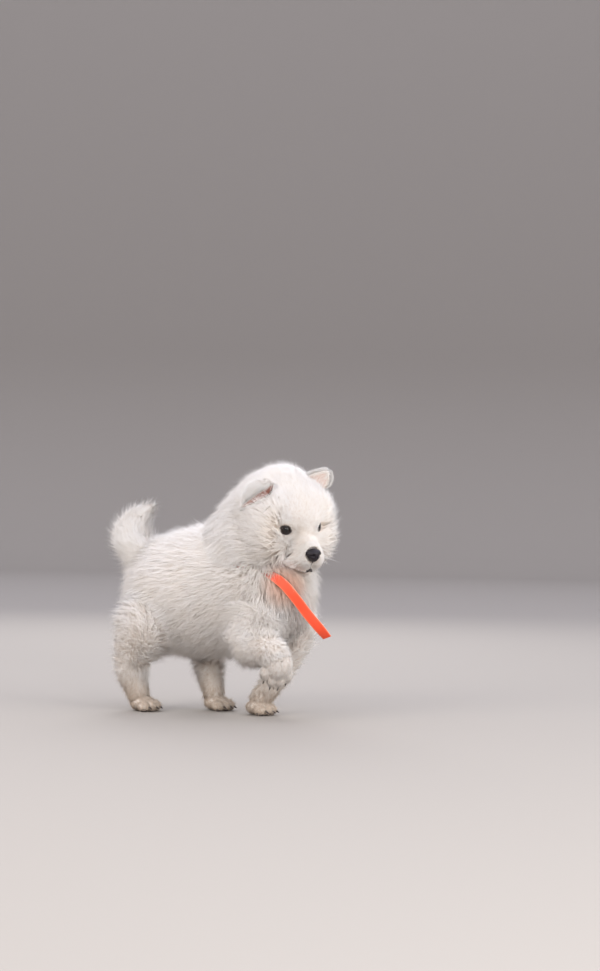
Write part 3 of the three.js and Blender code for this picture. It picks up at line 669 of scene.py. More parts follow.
def mottle_group():
    """Soft patches of two sizes over the object, as one value round 0.5."""
    tree = bpy.data.node_groups.new("Mottle", "ShaderNodeTree")
    tree.interface.new_socket(name="Scale", in_out="INPUT", socket_type="NodeSocketFloat")
    tree.interface.new_socket(name="Value", in_out="OUTPUT", socket_type="NodeSocketFloat")
    inner, outer = tree.nodes.new("NodeGroupInput"), tree.nodes.new("NodeGroupOutput")
    noise = new_node(tree, "ShaderNodeTexNoise", Detail=3.0, Roughness=0.6)
    link(tree, object_place(tree), noise.inputs["Vector"])
    link(tree, inner.outputs["Scale"], noise.inputs["Scale"])
    link(tree, noise.outputs["Fac"], outer.inputs["Value"])
    return tree


MOTTLE = mottle_group()


def mottle(tree, scale):
    """The mottle group in a material."""
    node = tree.nodes.new("ShaderNodeGroup")
    node.node_tree = MOTTLE
    node.inputs["Scale"].default_value = scale
    return node.outputs["Value"]


def ramp(tree, value, stops):
    """A colour ramp of (place, colour) stops over a value."""
    node = tree.nodes.new("ShaderNodeValToRGB")
    while len(node.color_ramp.elements) < len(stops):
        node.color_ramp.elements.new(0.5)
    for element, (place, colour) in zip(node.color_ramp.elements, stops):
        element.position = place
        element.color = (*colour, 1)
    link(tree, value, node.inputs["Fac"])
    return node.outputs["Color"]


def blend(tree, factor, a, b, kind="MIX"):
    """Two colours mixed by a value, each of the three a socket or a constant."""
    node = tree.nodes.new("ShaderNodeMix")
    node.data_type = "RGBA"
    node.blend_type = kind
    for socket, value in ((node.inputs[0], factor), (node.inputs[6], a), (node.inputs[7], b)):
        if isinstance(value, bpy.types.NodeSocket):
            link(tree, value, socket)
        elif isinstance(value, (int, float)):
            socket.default_value = value
        else:
            socket.default_value = (*value, 1)
    return node.outputs[2]


def tinted(tree, colour, tint):
    """One colour times another."""
    return blend(tree, 1.0, colour, tint, "MULTIPLY")


def fading(tree, length, none_at, full_at):
    """A smooth step of a length: 0 at one size, 1 at the other, both in millimetres."""
    fall = tree.nodes.new("ShaderNodeMapRange")
    fall.interpolation_type = "SMOOTHSTEP"
    fall.inputs["From Min"].default_value = none_at / 1000
    fall.inputs["From Max"].default_value = full_at / 1000
    link(tree, length, fall.inputs["Value"])
    return fall.outputs["Result"]


def low_down(tree, low, high):
    """1 below a height over the floor and 0 above another."""
    return fading(tree, parts_of(tree, object_place(tree))["Z"], high, low)


def near_place(tree, at, reach):
    """1 within a quarter of its reach from a place, falling to 0 at its reach."""
    away = new_node(tree, "ShaderNodeVectorMath", operation="DISTANCE")
    link(tree, object_place(tree), away.inputs[0])
    away.inputs[1].default_value = tuple(placed(at))
    return fading(tree, away.outputs["Value"], reach, reach / 4)


def bumped(tree, shader, height, strength, distance):
    """Raises the surface of a shader by a height."""
    bump = new_node(tree, "ShaderNodeBump", Strength=strength, Distance=distance)
    link(tree, height, bump.inputs["Height"])
    link(tree, bump.outputs["Normal"], shader.inputs["Normal"])


WHITE = (1, 1, 1)
# The root and mid colours are partly the coat's own cream undercoat and partly painted warm shade deep in
# the coat.
TIP_WHITE, MID_CREAM_AND_SHADE, ROOT_CREAM_AND_SHADE = (0.98, 0.965, 0.95), (0.94, 0.9, 0.86), (0.84, 0.74, 0.66)
OWN_TONES = [(0.0, (0.87, 0.82, 0.77)), (0.4, (0.98, 0.97, 0.96)), (1.0, WHITE)]  # from tuft to tuft
FEET_PAINTED_SHADE, LOW_FROM, LOW_TO = (0.74, 0.65, 0.56), 10, 50  # painted shade and warm floor bounce light on the feet, and the heights of its fade
THROAT_PAINTED_BOUNCE, THROAT_AT, THROAT_REACH = (1.0, 0.72, 0.6), [100, -34, 163], 38  # painted reddish bounce light from the ribbon and painted shade on the throat, beside the ribbon
BARE_BLACK = (0.03, 0.02, 0.018)  # skin at the edge of the lids and the nose
LID_REACH, NOSE_REACH = 12, 18
EAR_RIM = (0.86, 0.76, 0.69)
# The ribbon's paler edge is its woven edge; the band beside it is a painted sheen.
RIBBON_RED, RIBBON_PAINTED_SHEEN, RIBBON_EDGE = (0.93, 0.085, 0.025), (0.98, 0.2, 0.1), (1.0, 0.3, 0.17)


def coat_finish():
    """White hair, creamier at its roots (partly its own cream, partly painted warm shade), with painted
    shade and warm bounce light on the feet and painted reddish bounce light beside the ribbon.

    Its map holds how far along the tuft a point is, and the tuft's own tone.
    """
    material, tree, shader = finish("White coat", TIP_WHITE, 0.7)
    strand = parts_of(tree, map_place(tree, "Strand"))
    # cream at the root to white at the tip: partly the hair's own tone, partly painted shade deep in the
    # coat
    hair = ramp(tree, strand["X"], [(0.0, ROOT_CREAM_AND_SHADE), (0.5, MID_CREAM_AND_SHADE), (0.95, TIP_WHITE)])
    hair = tinted(tree, hair, ramp(tree, strand["Y"], OWN_TONES))
    hair = tinted(tree, hair, ramp(tree, mottle(tree, 30), [(0.35, (1, 0.985, 0.96)), (0.65, WHITE)]))
    # painted shade and warm floor bounce light, stronger towards the feet
    hair = tinted(tree, hair, blend(tree, low_down(tree, LOW_FROM, LOW_TO), WHITE, FEET_PAINTED_SHADE))
    # painted reddish bounce light from the ribbon and painted shade on the throat
    ribbon_bounce = near_place(tree, THROAT_AT, THROAT_REACH)
    hair = tinted(tree, hair, blend(tree, ribbon_bounce, WHITE, THROAT_PAINTED_BOUNCE))
    link(tree, hair, shader.inputs["Base Color"])
    return material


def skin_finish():
    """Pale pink skin under the coat, dark round the eyes and the nose."""
    material, tree, shader = finish("Skin", (0.8, 0.68, 0.6), 0.7)
    tone = ramp(tree, mottle(tree, 60), [(0.3, (0.84, 0.76, 0.68)), (0.7, (0.88, 0.82, 0.75))])
    dark = [(sided(EYE_FRONT, side), LID_REACH) for side in (1, -1)]
    for at, reach in [*dark, (NOSE_AT, NOSE_REACH)]:
        tone = blend(tree, near_place(tree, from_head(at), reach), tone, BARE_BLACK)
    link(tree, tone, shader.inputs["Base Color"])
    return material


def rim_finish():
    """Black-brown bare skin of the lids and lips, a little moist."""
    material, tree, shader = finish("Dark rim", (0.02, 0.013, 0.012), 0.38)
    tone = ramp(tree, mottle(tree, 300), [(0.3, (0.014, 0.009, 0.009)), (0.7, (0.03, 0.02, 0.019))])
    link(tree, tone, shader.inputs["Base Color"])
    return material


def eye_finish():
    """A dark brown iris round a black pupil, wet and glossy. Its map runs out from the pole."""
    material, tree, shader = finish("Wet eye", (0.02, 0.01, 0.006), 0.08)
    rings = [
        (0.0, (0.002, 0.001, 0.001)),
        (0.1, (0.002, 0.0015, 0.0015)),
        (0.13, (0.013, 0.005, 0.003)),
        (0.23, (0.008, 0.003, 0.002)),
        (0.27, (0.003, 0.002, 0.002)),
        (0.4, BARE_BLACK),
    ]
    globe = parts_of(tree, map_place(tree, "Globe"))
    link(tree, ramp(tree, globe["X"], rings), shader.inputs["Base Color"])
    return material


def nose_finish():
    """Black leather in fine pebbles, a little moist."""
    material, tree, shader = finish("Nose leather", (0.02, 0.016, 0.019), 0.36)
    shader.inputs["Specular IOR Level"].default_value = 0.25
    pebbles = new_node(tree, "ShaderNodeTexVoronoi", Scale=900.0)
    link(tree, object_place(tree), pebbles.inputs["Vector"])
    bumped(tree, shader, pebbles.outputs["Distance"], 0.35, 0.0005)
    tone = ramp(tree, mottle(tree, 120), [(0.3, (0.008, 0.006, 0.008)), (0.7, (0.02, 0.015, 0.02))])
    link(tree, tone, shader.inputs["Base Color"])
    return material


def ear_finish(name, inner):
    """Thin ear leather: the given tone in the cup, which for the near ear is painted shade, and pale at its
    rim. Its map: from root to tip, across.
    """
    material, tree, shader = finish(name, inner, 0.65)
    leaf = parts_of(tree, map_place(tree, "Leaf"))
    cup = ramp(tree, leaf["Y"], [(0.0, EAR_RIM), (0.14, inner), (0.86, inner), (1.0, EAR_RIM)])
    tone = ramp(tree, mottle(tree, 160), [(0.3, (0.85, 0.8, 0.78)), (0.7, WHITE)])
    link(tree, tinted(tree, cup, tone), shader.inputs["Base Color"])
    return material


def ribbon_finish():
    """Orange-red satin in fine cross ribs, paler along both woven edges, with a painted sheen along each.
    Its map: across, along.
    """
    material, tree, shader = finish("Red ribbon", (1.0, 0.1, 0.03), 0.4)
    cloth = map_place(tree, "Cloth")
    # woven edge, then a painted sheen, then the ribbon's own red
    weave = [(0.0, RIBBON_EDGE), (0.07, RIBBON_PAINTED_SHEEN), (0.12, RIBBON_RED)]
    weave += [(1 - place, tone) for place, tone in weave[::-1]]
    body = ramp(tree, parts_of(tree, cloth)["X"], weave)
    shade = ramp(tree, mottle(tree, 90), [(0.3, (0.9, 0.85, 0.85)), (0.7, WHITE)])
    link(tree, tinted(tree, body, shade), shader.inputs["Base Color"])
    ribs = new_node(tree, "ShaderNodeTexWave", Scale=30.0, bands_direction="Y")
    link(tree, cloth, ribs.inputs["Vector"])
    bumped(tree, shader, ribs.outputs["Fac"], 0.3, 0.0002)
    return material


COAT = coat_finish()
SKIN = skin_finish()
RIM = rim_finish()
EYE = eye_finish()
NOSE = nose_finish()
# The near ear's cup is painted dark as shade; the far ear's pale cup is its own pink.
SHADED_EAR = ear_finish("Shaded ear cup", (0.24, 0.085, 0.055))
PALE_EAR = ear_finish("Pale ear cup", (0.8, 0.56, 0.47))
RIBBON = ribbon_finish()
CLAW = finish("Claw horn", (0.05, 0.035, 0.03), 0.35)[0]
PAD = finish("Paw pad", (0.05, 0.033, 0.034), 0.6)[0]
WHISKER = finish("Whisker", (0.9, 0.88, 0.85), 0.4)[0]


# Skin


def skin_shells():
    """Every form of flesh at the skin, each closed, to be melted into one."""
    limbs = [torso, neck, tail, *legs.values()]
    balls = [ball for paw in paws.values() for ball in paw]
    fineness = [(limb, 40, 48) for limb in limbs] + [(head, 110, 120)] + [(ball, 16, 20) for ball in balls]
    return gathered(closed_rows(surface_rows(form, 0.0, rows, sides)) for form, rows, sides in fineness)


SKIN_VOXEL, SKIN_ROUNDS = 0.0016, 4  # metres, and rounds of smoothing


def melt_shells(piece):
    """Makes one skin of the shells: a fine voxel remesh, smoothed, with the faces out."""
    remesh = piece.modifiers.new("Melt", "REMESH")
    remesh.mode = "VOXEL"
    remesh.voxel_size = SKIN_VOXEL
    soften = piece.modifiers.new("Soften", "SMOOTH")
    soften.factor = 0.5
    soften.iterations = SKIN_ROUNDS
    view = bpy.context.evaluated_depsgraph_get()
    made = bpy.data.meshes.new_from_object(piece.evaluated_get(view))
    piece.modifiers.clear()
    piece.data = made
    made.shade_smooth()


def mouth_line(count=60):
    """Points along the line of the lips, from corner to corner, in the head's frame."""
    points = np.concatenate([sided(MOUTH, 1), sided(MOUTH, -1)[-2::-1]])
    return along(points, np.linspace(0, 1, count))


def shown_lips():
    """The points of the lips that no hair hides."""
    return mouth_line(LIP_STEPS)[LIP_SHOWS : LIP_STEPS - LIP_SHOWS]


def nearest(p, points):
    """How far each place is from the nearest of some points."""
    best = np.full(len(p), 1e9)
    for q in points:
        best = np.minimum(best, np.linalg.norm(p - q, axis=1))
    return best


def read_out(collection, attribute):
    """One vector for each item of a mesh's collection, as rows."""
    values = np.zeros(len(collection) * 3, np.float32)
    collection.foreach_get(attribute, values)
    return values.reshape(-1, 3)


def press_in_mouth(piece):
    """Draws the skin in along the line of the mouth, by a bell curve of the distance from it."""
    mesh = piece.data
    places, normals = read_out(mesh.vertices, "co"), read_out(mesh.vertex_normals, "vector")
    away = nearest(places * 1000 - OFFSET, from_head(mouth_line()))
    inward = MOUTH_DEEP / 1000 * np.exp(-((away / MOUTH_SPREAD) ** 2))
    places = places - normals * inward[:, None]
    mesh.vertices.foreach_set("co", places.astype(np.float32).ravel())
    mesh.update()


def make_skin():
    """The one skin, in place of every node of flesh."""
    points, faces = skin_shells()
    skin = mesh_piece("skin", placed(points), faces, SKIN)
    melt_shells(skin)
    skin.data.materials.clear()
    skin.data.materials.append(SKIN)
    press_in_mouth(skin)
    flesh = ["head", "neck", "tail", "torso"]
    flesh += [f"{part}_{name}" for part in ("leg", "paw") for name in PAWS]
    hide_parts(*flesh)
    return skin


# Coat

POLE_GAP = 0.004  # no tuft starts nearer to a pole than this share of the way between the two
ROOT_LEVEL = -0.05  # a root lies a little under the skin
# Three kinds of hair: wool, the coat itself, and guard hairs, which stand proud
GUARD_FROM = 0.74  # a draw above this makes a guard hair
WOOL_LEVEL, COAT_LEVEL, LEVEL_SPREAD = 0.6, 0.78, 0.22  # the tips' least level, and how far above it they go
# The wool's darker tone is partly its own cream and partly painted shade deep in the coat.
WOOL_LENGTH, WOOL_STRAY, WOOL_THICK, WOOL_SHADE = 0.75, 2.0, 1.7, 0.5  # next to the coat's own
GUARD_HELD, GUARD_THICK = 0.3, 0.6  # how far a clump draws it in, and its thickness, next to the coat's
BEND_AT, BEND_RISE = 0.36, 0.7  # where a tuft bends: the share of its length and of its level
CLUMPS_FROM, CLUMPS_FULL = 3, 15  # the depths of coat between which clumps begin to form


def even(size):
    """The same length or width all over."""
    return lambda p: np.full(len(p), float(size))


def one_way(way):
    """The same lie all over."""
    return lambda p: np.tile(way, (len(p), 1))


def scatter(surface, count, weight, draw, cells=60):
    """Places (u, v) spread evenly over a surface's skin, by area times a weight of the place."""
    edges = np.linspace(POLE_GAP, 1 - POLE_GAP, cells + 1)
    shares = np.linspace(0, 1, cells + 1)
    p = surface.at(*np.meshgrid(edges, shares, indexing="ij"), 0.5)
    across = np.cross(p[1:, 1:] - p[:-1, :-1], p[1:, :-1] - p[:-1, 1:])
    area = np.linalg.norm(across, axis=-1) / 2
    halfway = [(line[1:] + line[:-1]) / 2 for line in (edges, shares)]
    middle = surface.at(*np.meshgrid(*halfway, indexing="ij"), 0.5)
    share = area * weight(middle.reshape(-1, 3)).reshape(area.shape)
    share = share.ravel() / share.sum()
    cell = draw.choice(share.size, size=count, p=share)
    i, j = np.divmod(cell, cells)
    u = edges[i] + (edges[1] - edges[0]) * draw.random(count)
    v = shares[j] + (shares[1] - shares[0]) * draw.random(count)
    return u, v


def lie_of_torso(p):
    """Back and down along the sides, down on the chest and the rump."""
    turn = np.maximum(rising(p[:, 0], 30, 90), rising(p[:, 0], -95, -135))
    return np.stack([mix(-1, -0.25, turn), np.zeros(len(p)), mix(-0.5, -1, turn)], 1)


lie_of_neck = one_way([-0.45, 0.0, -1.0])  # down, and a little back
lie_of_forearm = one_way([0.55, 0.0, -0.85])  # along the raised forearm, and down


def lie_of_head(p):
    """Away from the nose, and sinking behind the face."""
    away = unit(p - from_head([58, 0, -30]))
    away[:, 2] -= 0.55 * rising(to_head(p)[:, 0], 30, -10)
    return away


def lie_of_tail(p):
    """Round the curl, and a little away from its middle."""
    away = p - TAIL_CURL
    return unit(np.stack([away[:, 2], 0 * away[:, 1], -away[:, 0]], 1)) + 0.25 * unit(away)


def lie_of_leg(p):
    """Down the leg, and back where it joins the body."""
    high = rising(p[:, 2], 60, 150)[:, None]
    return mix(np.array([[-0.15, 0.0, -1.0]]), np.array([[-0.7, 0.0, -0.8]]), high)


def everywhere(p):
    """An even weight."""
    return np.ones(len(p))


def clump_means(places, cells):
    """For each row of each array, its mean over the rows in the same cell."""
    _, own = np.unique(cells, axis=0, return_inverse=True)
    own = own.ravel()
    size = np.bincount(own)
    return [np.stack([np.bincount(own, p[:, k]) / size for k in range(3)], 1)[own] for p in places], own


Tufts = namedtuple("Tufts", "root bend tip radius patch shade outward")


def some_of(tufts, keep):
    """The tufts for which keep is true."""
    return Tufts(*(part[keep] for part in tufts))


def grow(surface, count, lie, long, wide, seed, field=outline, weight=everywhere, hidden=None, clump=0.0,
         clump_size=10.0, stray=0.3, wool=0.28, fuzz=even(5)):
    """Tufts over a surface: a woolly undercoat, the coat itself and a few guard hairs that stand proud.

    Each starts on the skin, leans the way that the coat lies and ends where the field has its level, the
    guard hairs up to `fuzz` beyond it. Tips in one cell of space are drawn together into a clump. A tuft
    that had to move far to end there is left out.
    """
    draw = np.random.default_rng(SEED + seed)
    u, v = scatter(surface, int(count * FINE), weight, draw)
    root = surface.at(u, v, ROOT_LEVEL)
    if hidden is not None:
        keep = ~hidden(root)
        u, v, root = u[keep], v[keep], root[keep]
    n = len(u)
    kind = draw.random(n)
    woolly, guard = kind < wool, kind > GUARD_FROM
    beyond = fuzz(root)
    wool_level = WOOL_LEVEL + LEVEL_SPREAD * draw.random(n)
    level = np.where(woolly, wool_level, COAT_LEVEL + LEVEL_SPREAD * draw.random(n) ** 2)
    across = surface.at(u, v, 1.0) - surface.at(u, v, 0.0)
    depth, outward = np.linalg.norm(across, axis=1), unit(across)
    length = long(root) * (0.6 + 0.6 * draw.random(n)) * np.where(woolly, WOOL_LENGTH, 1.0)
    way = unit(lie(root)) + (stray * np.where(woolly, WOOL_STRAY, 1.0))[:, None] * draw.normal(size=(n, 3))
    turn = way + 0.8 * stray * draw.normal(size=(n, 3))
    way, turn = (unit(w - outward * dot(w, outward)) for w in (way, turn))
    bend = root + way * (BEND_AT * length)[:, None] + outward * (depth * level * BEND_RISE)[:, None]
    run = (BEND_AT * way + (1 - BEND_AT) * turn) * length[:, None]
    tip = root + run + outward * (depth * level)[:, None]
    tone = draw.random(n)
    if clump:
        wobble = 0.35 * np.sin(root[:, [1, 2, 0]] / clump_size * 2.3)
        (bend_mean, tip_mean), own = clump_means([bend, tip], np.floor(root / clump_size + wobble))
        tone = draw.random(own.max() + 1)[own]
        held = clump * rising(depth, CLUMPS_FROM, CLUMPS_FULL) * np.where(guard, GUARD_HELD, 1.0)
        drawn = held[:, None] * draw.random((n, 1)) ** 0.6
        bend, tip = mix(bend, bend_mean, drawn * 0.5), mix(tip, tip_mean, drawn)
        level = level * mix(1.0, 0.9 + 0.2 * tone, np.where(guard, 0, clump))
    proud = np.where(guard, beyond * draw.random(n) ** 1.6, 0)
    ended, out_there = settled(field, tip, (1 - level) * depth - proud, 0.7 * depth + beyond)
    moved = np.linalg.norm(ended - tip, axis=1)
    bend, tip = bend + 0.45 * (ended - tip), ended
    for p in (bend, tip):
        p[:, 2] = np.maximum(p[:, 2], FLOOR_CLEAR)
    thick = np.where(woolly, WOOL_THICK, np.where(guard, GUARD_THICK, 1.0))
    radius = wide(root) * (0.7 + 0.5 * draw.random(n)) * thick
    # wool is darker: partly its own tone, partly painted shade deep in the coat
    shade = np.clip(0.4 * tone + 0.6 * draw.random(n), 0, 1) * np.where(woolly, WOOL_SHADE, 1.0)
    tufts = Tufts(root, bend, tip, radius, np.stack([v % 1, u], 1), shade, out_there)
    short = np.linalg.norm(tip - root, axis=1) < 1.15 * np.hypot(length, depth) + 0.5 * beyond + 1
    return some_of(tufts, short & (moved < 0.6 * depth + beyond + 4))


def gap_to(tufts, path):
    """How near each tuft's bend, its tip or the middle between them comes to the points of a path."""
    gap = np.minimum(nearest(tufts.bend, path), nearest(tufts.tip, path))
    return np.minimum(gap, nearest((tufts.bend + tufts.tip) / 2, path))


def clear_of_ribbon(tufts):
    """The tufts that keep off the ribbon's loose end."""
    path = along(RIBBON_END, np.linspace(RIBBON_FREE, 1, 40))
    return some_of(tufts, gap_to(tufts, path) > RIBBON_CLEAR)


SOFTNESS = 0.7  # how far a tuft takes the body's own normal, as light that scatters through hair does
PATCH = 0.003  # the size of a tuft's patch on the unwrap
UNWRAP_SHARE, UNWRAP_EDGE = 0.96, 0.01  # how much of its cell a surface's unwrap fills, and its margin
# A tuft: three corners at its root, three at its bend and its tip, each a lane across and a height
TUFT_SIDES = 3
TUFT_LANES = np.array([0, 1, 2, 0, 1, 2, 1]) / 2
TUFT_HEIGHTS = np.array([0, 0, 0, 0.45, 0.45, 0.45, 1])
TUFT_FACES = np.array([
    [0, 2, 1],
    [0, 1, 4], [0, 4, 3], [1, 2, 5], [1, 5, 4], [2, 0, 3], [2, 3, 5],
    [3, 4, 6], [4, 5, 6], [5, 3, 6],
])


def tuft_piece(name, batches):
    """One piece of tufts: three-sided, closed, tapered, with one bend, each with its patch of the unwrap."""
    cells = math.ceil(math.sqrt(len(batches)))
    for k, batch in enumerate(batches):
        batch.patch[:] = (batch.patch * UNWRAP_SHARE + UNWRAP_EDGE + [k % cells, k // cells]) / cells
    tufts = Tufts(*(np.concatenate(parts) for parts in zip(*batches)))
    n, corners = len(tufts.root), len(TUFT_HEIGHTS)
    axis = unit(tufts.bend - tufts.root)
    side = unit(np.cross(axis, tufts.tip - tufts.bend) + 1e-6)
    up = np.cross(axis, side)
    angles = turns(TUFT_SIDES)[None, :, None]
    spokes = side[:, None] * np.cos(angles) + up[:, None] * np.sin(angles)
    thick = tufts.radius[:, None, None]
    low = tufts.root[:, None] + spokes * thick
    high = tufts.bend[:, None] + spokes * thick * 0.9
    points = np.concatenate([low, high, tufts.tip[:, None]], 1)
    faces = (np.arange(n) * corners)[:, None, None] + TUFT_FACES[None]
    piece = mesh_piece(name, placed(points.reshape(-1, 3)), faces.reshape(-1, 3), COAT)
    spread = PATCH * np.stack([TUFT_LANES, TUFT_HEIGHTS], 1)
    add_map(piece, "OFBake", (tufts.patch[:, None] + spread[None]).reshape(-1, 2))
    strand = np.broadcast_arrays(TUFT_HEIGHTS, tufts.shade[:, None])
    add_map(piece, "Strand", np.stack(strand, -1).reshape(-1, 2))
    own = np.concatenate([spokes, spokes, unit(tufts.tip - tufts.bend)[:, None]], 1)
    soft = unit(mix(own, tufts.outward[:, None], SOFTNESS))
    piece.data.normals_split_custom_set_from_vertices(soft.reshape(-1, 3).astype(np.float32))


def hidden_from(*others, level=0.0):
    """True where a root is inside another form."""
    def hidden(p):
        found = np.zeros(len(p), bool)
        for other in others:
            found |= other.holds(p, level)
        return found
    return hidden


def on_eye(p, margin):
    """True in front of the opening of either eye, widened by a margin."""
    q = to_head(p)
    outward = np.radians(EYE_OUTWARD)
    away = on_left(q) - EYE_AT
    across = -away[:, 0] * math.sin(outward) + away[:, 1] * math.cos(outward)
    forward = away[:, 0] * math.cos(outward) + away[:, 1] * math.sin(outward)
    reach = np.hypot(across / (EYE_OPEN[0] + margin), away[:, 2] / (EYE_OPEN[1] + margin))
    return (reach < 1) & (forward > 0)


def on_bare_face(p, eye_margin=0.6, lip_margin=2.0):
    """True on what has no hair: the eyes, the nose leather and the front of the lips."""
    q = to_head(p)
    bare = on_eye(p, eye_margin)
    bare |= np.linalg.norm((q - NOSE_AT) / (np.array(NOSE_HALF) * 1.02), axis=1) < 1
    return bare | (nearest(q, shown_lips()) < lip_margin)


def clear_of_face(tufts, seed):
    """The tufts whose bends and tips keep off the eyes, the nose, the lips and the cup of the near ear.

    One in thirty may still cross the ear, as single hairs do.
    """
    bare = on_bare_face(tufts.bend, -0.2, 1.8) | on_bare_face(tufts.tip, -0.5, 1.4)
    front, back, tip, _ = (np.array(part) for part in EARS["ear_right"])
    cup = from_head(mix(0.62 * front + 0.38 * back, tip, np.linspace(0.0, 0.9, 30)[:, None]))
    gap = gap_to(tufts, cup)
    lets_through = np.random.default_rng(SEED + seed).random(len(gap)) < 1 / 30
    return some_of(tufts, ~bare & ((gap > EAR_CLEAR) | lets_through))


def coat_depth(p):
    """The depth of the head's coat at places in the puppy's frame."""
    return head.depth(to_head(p))


def face_weight(p):
    """More tufts where the coat is short."""
    return 1 + 2.2 * (1 - rising(coat_depth(p), 4, 17))


def head_length(p):
    """Short on the muzzle, and long on the cheeks and the crown."""
    return 4.6 + 1.3 * (coat_depth(p) - FACE_COAT)


def head_fuzz(p):
    """How far single hairs stand proud: hardly on the muzzle, and most over the crown and the cheeks."""
    return mix(1.0, 8.0, rising(coat_depth(p), 3, 13))


def head_width(p):
    """Fine on the muzzle, and coarser where the coat is long."""
    return mix(0.18, 0.33, rising(coat_depth(p), 2, 14))


def leg_length(leg):
    """Long on the thigh and short above the paw: by height over the leg's foot."""
    foot = leg.stations[-1, 2]
    return lambda p: mix(13, 24, rising(p[:, 2] - foot, 10, 90))


def tail_length(p):
    """Long over the plume, and shorter towards its tip."""
    return mix(28, 13, rising(p[:, 2], 232, 254))


def near_eyes(p):
    """A weight for a narrow ring of skin round each eye."""
    away = np.linalg.norm(on_left(to_head(p)) - EYE_FRONT, axis=1)
    return 1e-6 + np.exp(-(((away - 9) / 2.6) ** 2))


def off_eyes(p):
    """Away from the middle of the nearer eye."""
    q = to_head(p)
    side = np.where([False, True, False], np.sign(q[:, 1:2]), 1)
    return unit(q - EYE_FRONT * side) @ HEAD_MATRIX.T


def near_nose(p):
    """A weight for a ring of skin round the nose leather."""
    away = np.linalg.norm((to_head(p) - NOSE_AT) / NOSE_HALF, axis=1)
    return 1e-6 + np.exp(-(((away - 1.25) / 0.35) ** 2))


def off_nose(p):
    """Away from the nose."""
    return unit(p - from_head(NOSE_AT))


def fringes():
    """Short fine hair round the eyes and the nose, close against the bare parts."""
    close = dict(fuzz=even(1), hidden=lambda p: on_bare_face(p, 1.0, 1.2))
    lashes = grow(head, 2600, off_eyes, even(3.6), even(0.17), 120, weight=near_eyes, stray=0.2, **close)
    velvet = grow(head, 3600, off_nose, even(3.4), even(0.17), 121, weight=near_nose, stray=0.3, **close)
    return [lashes, velvet]


def coat_of_torso():
    """Three pieces of the same long coat, left off where the other parts have their own."""
    hides = hidden_from(neck, head, tail, *legs.values())
    for k in range(3):
        hair = grow(torso, 15800, lie_of_torso, even(25), even(0.36), 10 + k, clump=0.5, clump_size=9.0,
                    stray=0.24, hidden=hides)
        tuft_piece(f"coat_torso_{k + 1}", [clear_of_ribbon(hair)])


def coat_of_neck():
    """The ruff, in heavier clumps."""
    hair = grow(neck, 25000, lie_of_neck, even(25), even(0.34), 20, clump=0.65, clump_size=10.0,
                stray=0.25, hidden=hidden_from(torso, head))
    tuft_piece("coat_neck", [clear_of_ribbon(hair)])


def coat_of_head():
    """Three pieces, dense and short on the face and left off what is bare."""
    hides = hidden_from(torso, neck)
    for k in range(3):
        hair = grow(head, 15000, lie_of_head, head_length, head_width, 30 + k, weight=face_weight,
                    clump=0.16, clump_size=6.0, stray=0.22, fuzz=head_fuzz,
                    hidden=lambda p: on_bare_face(p) | hides(p))
        tuft_piece(f"coat_head_{k + 1}", [clear_of_face(clear_of_ribbon(hair), 35 + k)])


def coat_of_tail():
    """The plume, with long guard hairs."""
    hair = grow(tail, 12500, lie_of_tail, tail_length, even(0.34), 40, clump=0.4, stray=0.34, fuzz=even(11),
                hidden=hidden_from(torso))
    tuft_piece("coat_tail", [hair])


LEG_LIES = {"forearm": lie_of_forearm}
LEG_TUFTS = {"hind_right": 9500, "upper_arm": 8500}  # those nearest to the camera are the densest
OTHER_LEG_TUFTS = 5500


def coat_of_legs():
    """Two pieces: the legs that stand, and the raised one."""
    hair = []
    for k, (name, leg) in enumerate(legs.items()):
        others = [other for other in legs.values() if other is not leg]
        count, lie = LEG_TUFTS.get(name, OTHER_LEG_TUFTS), LEG_LIES.get(name, lie_of_leg)
        hair.append(grow(leg, count, lie, leg_length(leg), even(0.29), 50 + k, clump=0.25, clump_size=8.0,
                         stray=0.24, fuzz=even(5.5), hidden=hidden_from(torso, *others)))
    tuft_piece("coat_legs", hair[:3])
    tuft_piece("coat_raised_leg", hair[3:])


def make_coat():
    """Every piece of the coat."""
    coat_of_torso()
    coat_of_neck()
    coat_of_head()
    coat_of_tail()
    coat_of_legs()
    tuft_piece("coat_fringes", [clear_of_face(tufts, 130) for tufts in fringes()])
    tuft_piece("coat_paws", [tufts for k, name in enumerate(paws) for tufts in foot_hair(name, 70 + 5 * k)])
    tuft_piece("coat_ears", [ear_fur("ear_right", 95), ear_fur("ear_left", 96), rolled_ear(97)])


# The hair of a foot, over its pad and each toe: how many tufts, how long, and how far some stand proud
STANDING_FOOT = {"pad": (1400, 9), "toe": (560, 7), "fuzz": 4}
RAISED_FOOT = {"pad": (1700, 14), "toe": (560, 10), "fuzz": 6}


def foot_hair(name, seed):
    """The hair of one foot: over its back, longer where the foot is raised, and over each toe."""
    balls = paws[name]
    hair = RAISED_FOOT if name == "front_right" else STANDING_FOOT
    lie = one_way(unit(balls[1].middle + balls[4].middle - 2 * balls[0].middle))
    made = []
    for m, ball in enumerate(balls):
        count, length = hair["toe" if m else "pad"]
        hides = hidden_from(*(other for other in balls if other is not ball))
        made.append(grow(ball, count, lie, even(length), even(0.25), seed + m, field=ball.outer, stray=0.4,
                         wool=0.2, fuzz=even(hair["fuzz"]), hidden=lambda p: hides(p) | under_paw(ball, p)))
    return made


